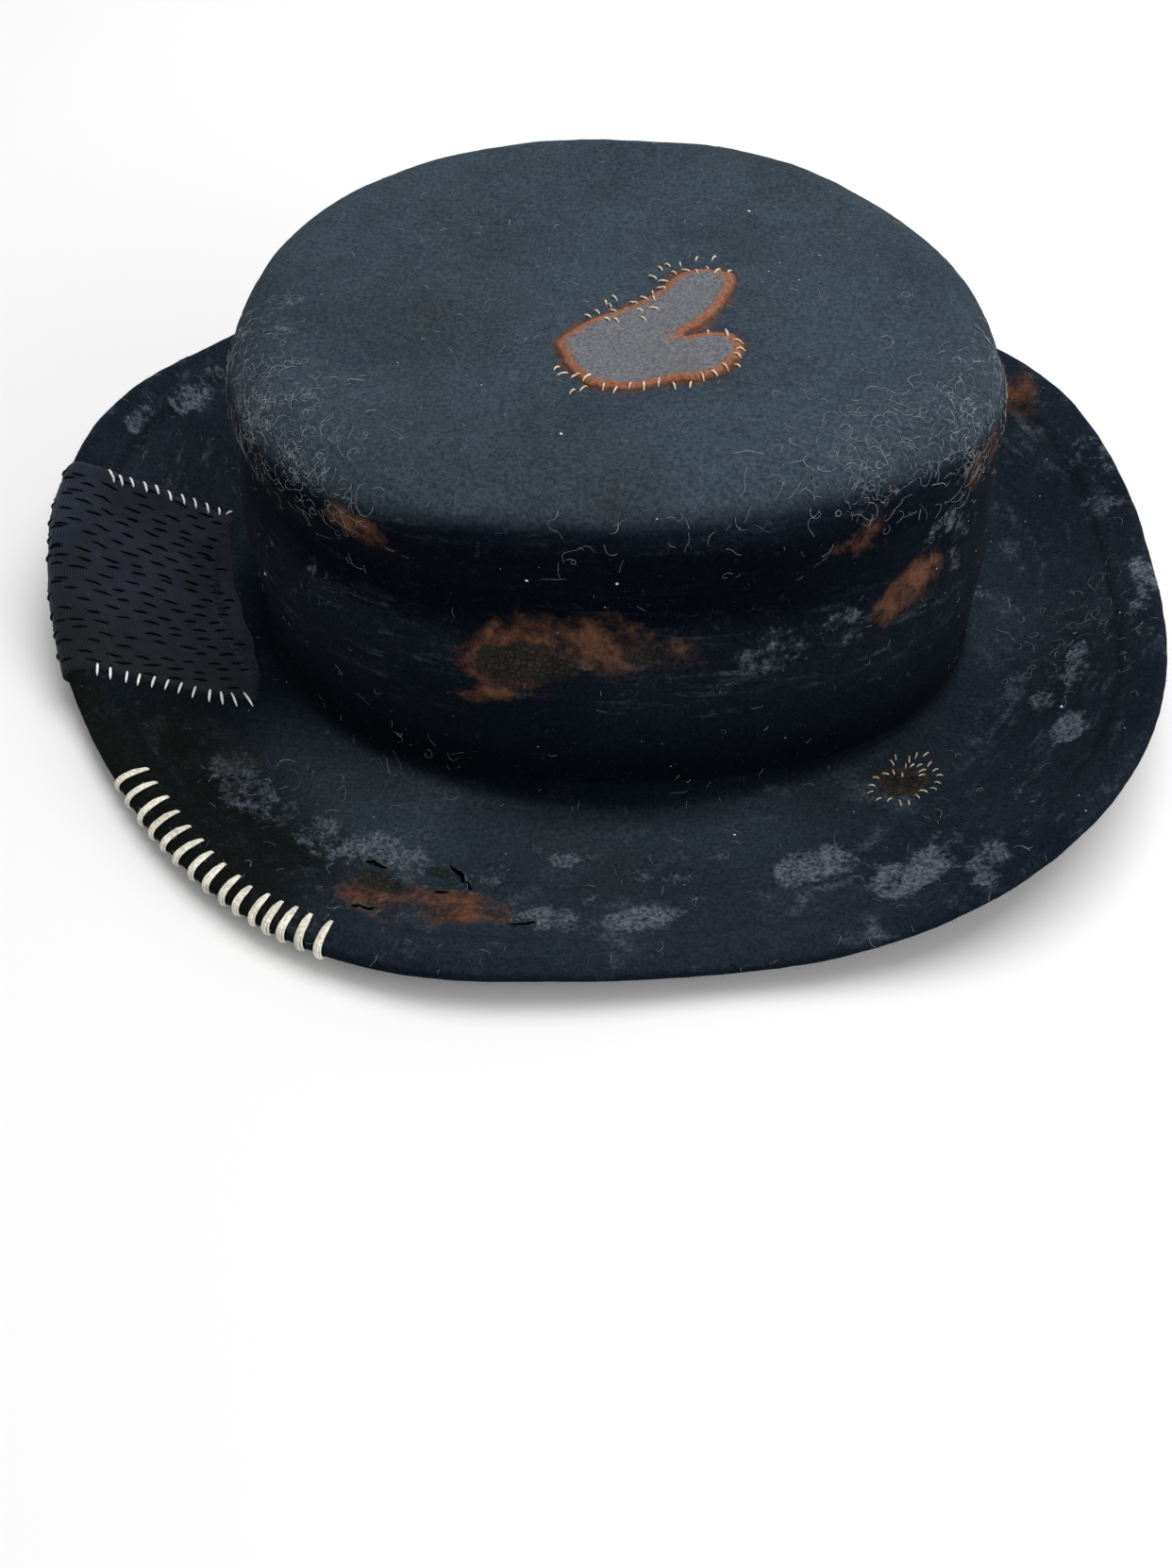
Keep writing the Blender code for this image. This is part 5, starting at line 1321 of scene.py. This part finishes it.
# ---- edge lacing --------------------------------------------------------
def build_lacing(surface):
    paths, radii = [], []
    hairs, hair_r = [], []
    for k, ((ti, ei), (to, eo)) in enumerate(zip(LACE_IN, LACE_OUT)):
        es = np.concatenate([np.linspace(ei, 3.0, 12), np.linspace(2.2, -2.4, 9), np.linspace(-3.2, -9.5, 7)])
        run = np.linspace(0, 1, len(es))
        twist = RNG.uniform(-0.7, 0.7)
        strands = 5
        width = RNG.uniform(0.98, 1.14)
        for s in range(strands):
            u = (s + 0.5) / strands * 2 - 1
            pts, rad = [], []
            for j, e in enumerate(es):
                f = np.clip((ei - e) / (ei + 0.5), 0, 1)
                deg = ti + (to - 0.25 - ti) * f ** 1.3
                taper = min(1.0, 0.22 + 0.85 * (run[j] / 0.24)) if run[j] < 0.24 else 1.0
                uu = u * math.cos(twist * 0.4 * math.sin(run[j] * 5)) + 0.10 * math.sin(run[j] * 9 + s * 2.1)
                arch = math.sqrt(max(0.0, 1 - (uu * 0.92) ** 2))
                off = uu * width * taper
                q0 = np.array(on_brim(math.radians(deg), e * MM, 0.0))
                q1 = np.array(on_brim(math.radians(deg + 0.2), e * MM, 0.0))
                tang = q1 - q0
                tang /= np.linalg.norm(tang)
                q, n = surface.near(q0 + tang * off * MM)
                lift = 0.10 + 0.85 * arch * taper
                if j == 0:
                    lift = -0.35
                elif j == 1:
                    lift *= 0.62
                pts.append(q + n * lift * MM)
                rad.append((0.19 + 0.10 * taper) * MM * (0.7 if j == 0 else 1))
            paths.append(np.array(pts))
            radii.append(np.array(rad))
        for h in range(26):
            j = RNG.integers(1, len(es) - 3)
            base = paths[-1 - RNG.integers(0, strands)]
            a = base[j]
            d = RNG.normal(0, 1, 3)
            d /= np.linalg.norm(d)
            L = RNG.uniform(0.4, 1.3) * MM
            hairs.append(np.array([a, a + d * L * 0.5 + RNG.normal(0, 0.1, 3) * MM, a + d * L]))
            hair_r.append(np.array([0.035, 0.03, 0.02]) * MM)
    yarn = thread_material("cream_yarn_fibres", (0.52, 0.49, 0.40), (0.84, 0.81, 0.72), 0.8, 1300, 0.15, 1.0)
    obj = tubes("edge_lacing_yarn", paths, radii, 7, yarn)
    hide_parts("edge_lacing")
    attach(obj, "root")
    obj = tubes("lacing_fuzz", hairs, hair_r, 3, yarn)
    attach(obj, "root")


# ---- cuts in the brim ---------------------------------------------------
def build_cuts(surface):
    painted_shade, lips, pale = [], [], []
    dark_r, lips_r, pale_r = [], [], []
    for k, ((x0, y0), (x1, y1), deep) in enumerate(CUTS):
        a, b = np.array([x0, y0]) * MM, np.array([x1, y1]) * MM
        side = np.array([-(b - a)[1], (b - a)[0]])
        side /= np.linalg.norm(side)
        if side[1] < 0:
            side = -side
        slit, lip, edge = [], [], []
        jag = RNG.normal(0, 0.28, 11)
        for i, s in enumerate(np.linspace(0, 1, 11)):
            p = a + (b - a) * s + side * (jag[i] + 0.5 * math.sin(3 * s + k)) * MM
            q, n = surface.down(*p)
            slit.append(q + n * 0.06 * MM)
            q, n = surface.down(*(p + side * 0.55 * MM))
            lip.append(q + n * (0.05 + 0.22 * math.sin(math.pi * s)) * MM)
            q, n = surface.down(*(p + side * 0.15 * MM))
            edge.append(q + n * (0.12 + 0.25 * math.sin(math.pi * s)) * MM)
        form = np.sin(np.linspace(0.08, math.pi - 0.08, 11)) ** 0.7
        painted_shade.append(np.array(slit))
        dark_r.append(form * (0.34 + 0.26 * deep) * MM)
        lips.append(np.array(lip))
        lips_r.append(form * 0.42 * MM)
        if k == 0:
            pale.append(np.array(edge)[2:9])
            pale_r.append(np.full(7, 0.19 * MM))
    # cut_shadow: near-black tubes laid in the slits as painted shadow
    for name, p, r, mat in (("cut_shadow", painted_shade, dark_r, thread_material("cut_painted_shadow", (0.0006, 0.0006, 0.0007), (0.0015, 0.0015, 0.0016), 1.0, 900, 0.0, 0.5, 0.02)),
                            ("cut_lip", lips, lips_r, thread_material("cut_lip_felt", (0.012, 0.013, 0.014), (0.075, 0.080, 0.085), 0.95, 700, 0.0, 1.0, 0.05)),
                            ("cut_pale_edge", pale, pale_r, thread_material("cut_pale_fibre", (0.30, 0.32, 0.34), (0.60, 0.62, 0.64)))):
        obj = tubes(name, p, r, 7, mat)
        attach(obj, "root")


# ---- lint and loose fibres ----------------------------------------------
def build_lint(surface, P, N, masks, idx, n_out):
    nt = idx.shape[1]
    pool = idx[:n_out].ravel()
    paths, radii = [], []
    groups = LINT_GROUPS
    quick = 1.0
    PP, NN = P[pool], N[pool]
    area_w = np.repeat(np.linalg.norm(P[idx[:n_out, 1]] - P[idx[:n_out, 0]], axis=1), nt)
    for cx, cy, cz, spread, count, lmin, lmax, curl in groups:
        d = np.linalg.norm(PP - np.array([cx, cy, cz]) * MM, axis=1) if spread < 400 else np.zeros(len(PP))
        w = np.exp(-(d / (spread * MM)) ** 2) * area_w
        w /= w.sum()
        picks = RNG.choice(len(PP), int(count * LINT_AMOUNT * quick), p=w)
        for i in picks:
            p, n = PP[i].copy(), NN[i]
            L = RNG.uniform(lmin, lmax) * MM
            steps = max(5, int(L / (0.45 * MM)))
            t = RNG.normal(0, 1, 3)
            t -= n * (t @ n)
            t /= np.linalg.norm(t)
            turn = RNG.normal(0, curl) * 0.5
            pts = []
            lift = RNG.uniform(0.05, 0.35) * MM
            q = p.copy()
            for s in range(steps):
                if s % 3 == 0:
                    hit, hn = surface.near(q)
                    n = hn
                else:
                    hit = q - n * ((q - hit) @ n)
                f = s / (steps - 1)
                pts.append(hit + n * (lift * abs(math.sin(math.pi * f)) ** 0.7 * (1 + f) + 0.03 * MM))
                turn += RNG.normal(0, curl * 0.28) - turn * 0.12
                b = np.cross(n, t)
                t = t * math.cos(turn) + b * math.sin(turn)
                t -= n * (t @ n)
                t /= np.linalg.norm(t) + 1e-12
                q = hit + t * L / steps
            paths.append(np.array(pts))
            r = RNG.uniform(0.020, 0.038) * MM * (1.5 if RNG.uniform() < 0.12 else 1.0)
            radii.append(r)
    mat = thread_material("lint_fibres", (0.16, 0.18, 0.20), (0.44, 0.47, 0.50), 0.8, 300, 0.1)
    obj = tubes("lint_fibres_loose", paths, radii, 3, mat)
    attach(obj, "root")

    # short dark nap standing off the felt
    count = int((7000))
    w = area_w / area_w.sum()
    picks = RNG.choice(len(PP), count, p=w)
    base = PP[picks]
    nn = NN[picks]
    d = nn * RNG.uniform(0.35, 1.0, (count, 1)) + RNG.normal(0, 0.6, (count, 3))
    d /= np.linalg.norm(d, axis=1)[:, None]
    L = RNG.uniform(0.4, 1.2, (count, 1)) * MM
    bend = RNG.normal(0, 0.22, (count, 3)) * MM
    nap = np.stack([base - nn * 0.1 * MM, base + d * L * 0.5 + bend * 0.5, base + d * L + bend], 1)
    obj = tubes("felt_nap", list(nap), [np.array([0.035, 0.03, 0.018]) * MM] * count, 3,
                thread_material("nap_fibres", (0.010, 0.014, 0.020), (0.045, 0.055, 0.068), 0.8, 600, 0.1))
    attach(obj, "root")

    # small pale flecks
    verts, faces = [], []
    spots = [surface.near(np.array(s) * MM) for s in FLECKS]
    for i in RNG.choice(len(PP), 90, p=w):
        spots.append(surface.near(PP[i]))
    for k, (q, n) in enumerate(spots):
        r = (RNG.uniform(0.35, 0.6) if k < len(FLECKS) else RNG.uniform(0.08, 0.22)) * MM
        a = np.cross(n, [0.3, 0.5, 0.8])
        a /= np.linalg.norm(a)
        b = np.cross(n, a)
        off = len(verts)
        m = 6
        st = RNG.uniform(1.0, 1.8)
        for j in range(m):
            w2 = 2 * math.pi * j / m
            verts.append(q + n * 0.08 * MM + (a * math.cos(w2) * st + b * math.sin(w2)) * r * RNG.uniform(0.6, 1.1))
        verts.append(q + n * (0.08 * MM + r * 0.6))
        verts.append(q - n * 0.05 * MM)
        for j in range(m):
            h = (j + 1) % m
            faces.append((off + j, off + h, off + m))
            faces.append((off + h, off + j, off + m + 1))
    obj = mesh_object("flecks", np.array(verts), faces, thread_material("fleck_white", (0.5, 0.5, 0.52), (0.85, 0.85, 0.85)))
    fix_normals(obj)
    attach(obj, "root")


# ---- inside -------------------------------------------------------------
def refined(node, name, material, cuts, move):
    """A finer copy of a plain inner piece, with its points moved by move(points, normals, angle)."""
    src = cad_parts[node]
    bm = bmesh.new()
    bm.from_mesh(src.data)
    bm.transform(src.matrix_world)
    bmesh.ops.remove_doubles(bm, verts=bm.verts, dist=1e-6)
    bmesh.ops.subdivide_edges(bm, edges=bm.edges, cuts=cuts, use_grid_fill=True)
    bm.normal_update()
    bm.verts.index_update()
    pts = np.array([tuple(v.co) for v in bm.verts]) - np.array(OFFSET)
    nrm = np.array([tuple(v.normal) for v in bm.verts])
    faces = [tuple(v.index for v in f.verts) for f in bm.faces]
    bm.free()
    ang = np.arctan2(pts[:, 1] / CROWN_HALF_WIDTH, pts[:, 0] / CROWN_HALF_LENGTH)
    obj = mesh_object(name, move(pts, nrm, ang), faces, material)
    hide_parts(node)
    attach(obj, "root")
    return obj


def inward(pts):
    d = -pts.copy()
    d[:, 2] = 0
    return d / (np.linalg.norm(d, axis=1)[:, None] + 1e-9)


def dress_inside():
    satin, ribbon = satin_material(), ribbon_material()

    def band(pts, nrm, ang):
        wave = 0.5 + 0.5 * np.sin(5 * ang + 0.8 * np.sin(2 * ang))
        high = smooth(pts[:, 2], 8 * MM, 38 * MM)
        return pts + inward(pts) * (high * wave * 0.9 * MM + 0.06 * MM * fbm(pts, 4 * MM, 2, 71))[:, None]

    def gathers(pts, nrm, ang):
        fold = 0.5 + 0.5 * np.sin(84 * ang + 1.5 * np.sin(11 * ang) + fbm(pts, 20 * MM, 2, 72))
        mid = smooth(pts[:, 2], 27 * MM, 34 * MM) * smooth(pts[:, 2], 97 * MM, 88 * MM)
        return pts + inward(pts) * (0.15 * MM + mid * (0.75 * fold * MM + 0.5 * MM * (0.5 + 0.5 * fbm(pts, 25 * MM, 2, 73))))[:, None]

    def tip(pts, nrm, ang):
        out = pts.copy()
        out[:, 2] -= (0.35 + 0.35 * fbm(pts, 22 * MM, 3, 74)) * MM
        return out

    def slight(pts, nrm, ang):
        return pts + nrm * (0.05 * MM * fbm(pts, 2 * MM, 2, 75))[:, None]

    band_obj = refined("sweatband", "sweatband_leather", leather_material(), 2, band)
    refined("lining_side", "lining_gathered", satin, 3, gathers)
    refined("lining_tip", "lining_crown_tip", satin, 2, tip)
    refined("sweatband_reed", "reed_piping", ribbon, 2, slight)
    refined("sweatband_bow", "small_bow", ribbon, 3, slight)

    # stitching along the sweatband's lower edge
    inner = Surface(band_obj)
    paths, radii = [], []
    count = 170
    for k in range(count):
        pts = []
        for s in np.linspace(0.12, 0.78, 5):
            a = 2 * math.pi * (k + s) / count
            hit, n, _, _ = inner.tree.ray_cast(Vector((0, 0, 7.2 * MM)), Vector((math.cos(a), math.sin(a), 0)))
            if hit is None:
                break
            f = (s - 0.12) / 0.66
            pts.append(np.array(hit) - np.array([math.cos(a), math.sin(a), 0]) * (-0.12 + 0.34 * abs(math.sin(math.pi * f)) ** 0.7) * MM)
        if len(pts) == 5:
            paths.append(np.array(pts))
            radii.append(np.array([0.6, 0.9, 1.0, 0.9, 0.6]) * 0.2 * MM)
    obj = tubes("sweatband_stitching", paths, radii, 6, thread_material("band_thread", (0.25, 0.17, 0.10), (0.45, 0.34, 0.22)))
    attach(obj, "root")


# ---- camera, light, floor -----------------------------------------------
def build_stage():
    scene = bpy.context.scene
    cam_data = bpy.data.cameras.new("view")
    cam = bpy.data.objects.new("view", cam_data)
    scene.collection.objects.link(cam)
    cam_data.sensor_fit = "VERTICAL"
    cam_data.sensor_height = 36.0
    cam_data.sensor_width = 36.0
    cam_data.lens = CAM_LENS
    cam_data.clip_start = 0.01
    right, up, back = (Vector(v) for v in CAM_AXES)
    cam.matrix_world = Matrix((
        (right.x, up.x, back.x, CAM_PLACE[0]),
        (right.y, up.y, back.y, CAM_PLACE[1]),
        (right.z, up.z, back.z, CAM_PLACE[2]),
        (0, 0, 0, 1)))
    scene.camera = cam

    size = 3.0
    floor = mesh_object("pale_floor_sheet", [(-size, -size, -0.0002), (size, -size, -0.0002), (size, size, -0.0002), (-size, size, -0.0002)],
                        [(0, 1, 2, 3)], floor_material(), place_it=False)

    world = bpy.data.worlds.new("studio")
    scene.world = world
    world.use_nodes = True
    bg = world.node_tree.nodes["Background"]
    bg.inputs[0].default_value = (1.0, 1.0, 1.0, 1.0)
    bg.inputs[1].default_value = WORLD_LIGHT

    def area(name, loc, target, size, energy, colour=(1, 1, 1)):
        light = bpy.data.lights.new(name, "AREA")
        light.shape = "RECTANGLE"
        light.size, light.size_y = size
        light.energy = energy
        light.color = colour
        obj = bpy.data.objects.new(name, light)
        scene.collection.objects.link(obj)
        obj.location = loc
        obj.rotation_euler = (Vector(loc) - Vector(target)).to_track_quat("Z", "Y").to_euler()

    for name, loc, target, dims, energy, colour in LIGHTS:
        area(name, loc, target, dims, energy, colour)
    scene.view_settings.view_transform = "Standard"
    scene.view_settings.look = "None"
    scene.view_settings.exposure = 0.0
    scene.view_settings.gamma = 1.0


body, P, N, masks, idx, n_out = build_felt()
skin_of = Surface(body)
build_heart(skin_of)
build_darn(skin_of)
build_side_patch(skin_of)
build_lacing(skin_of)
build_cuts(skin_of)
build_lint(skin_of, P, N, masks, idx, n_out)
dress_inside()
build_stage()
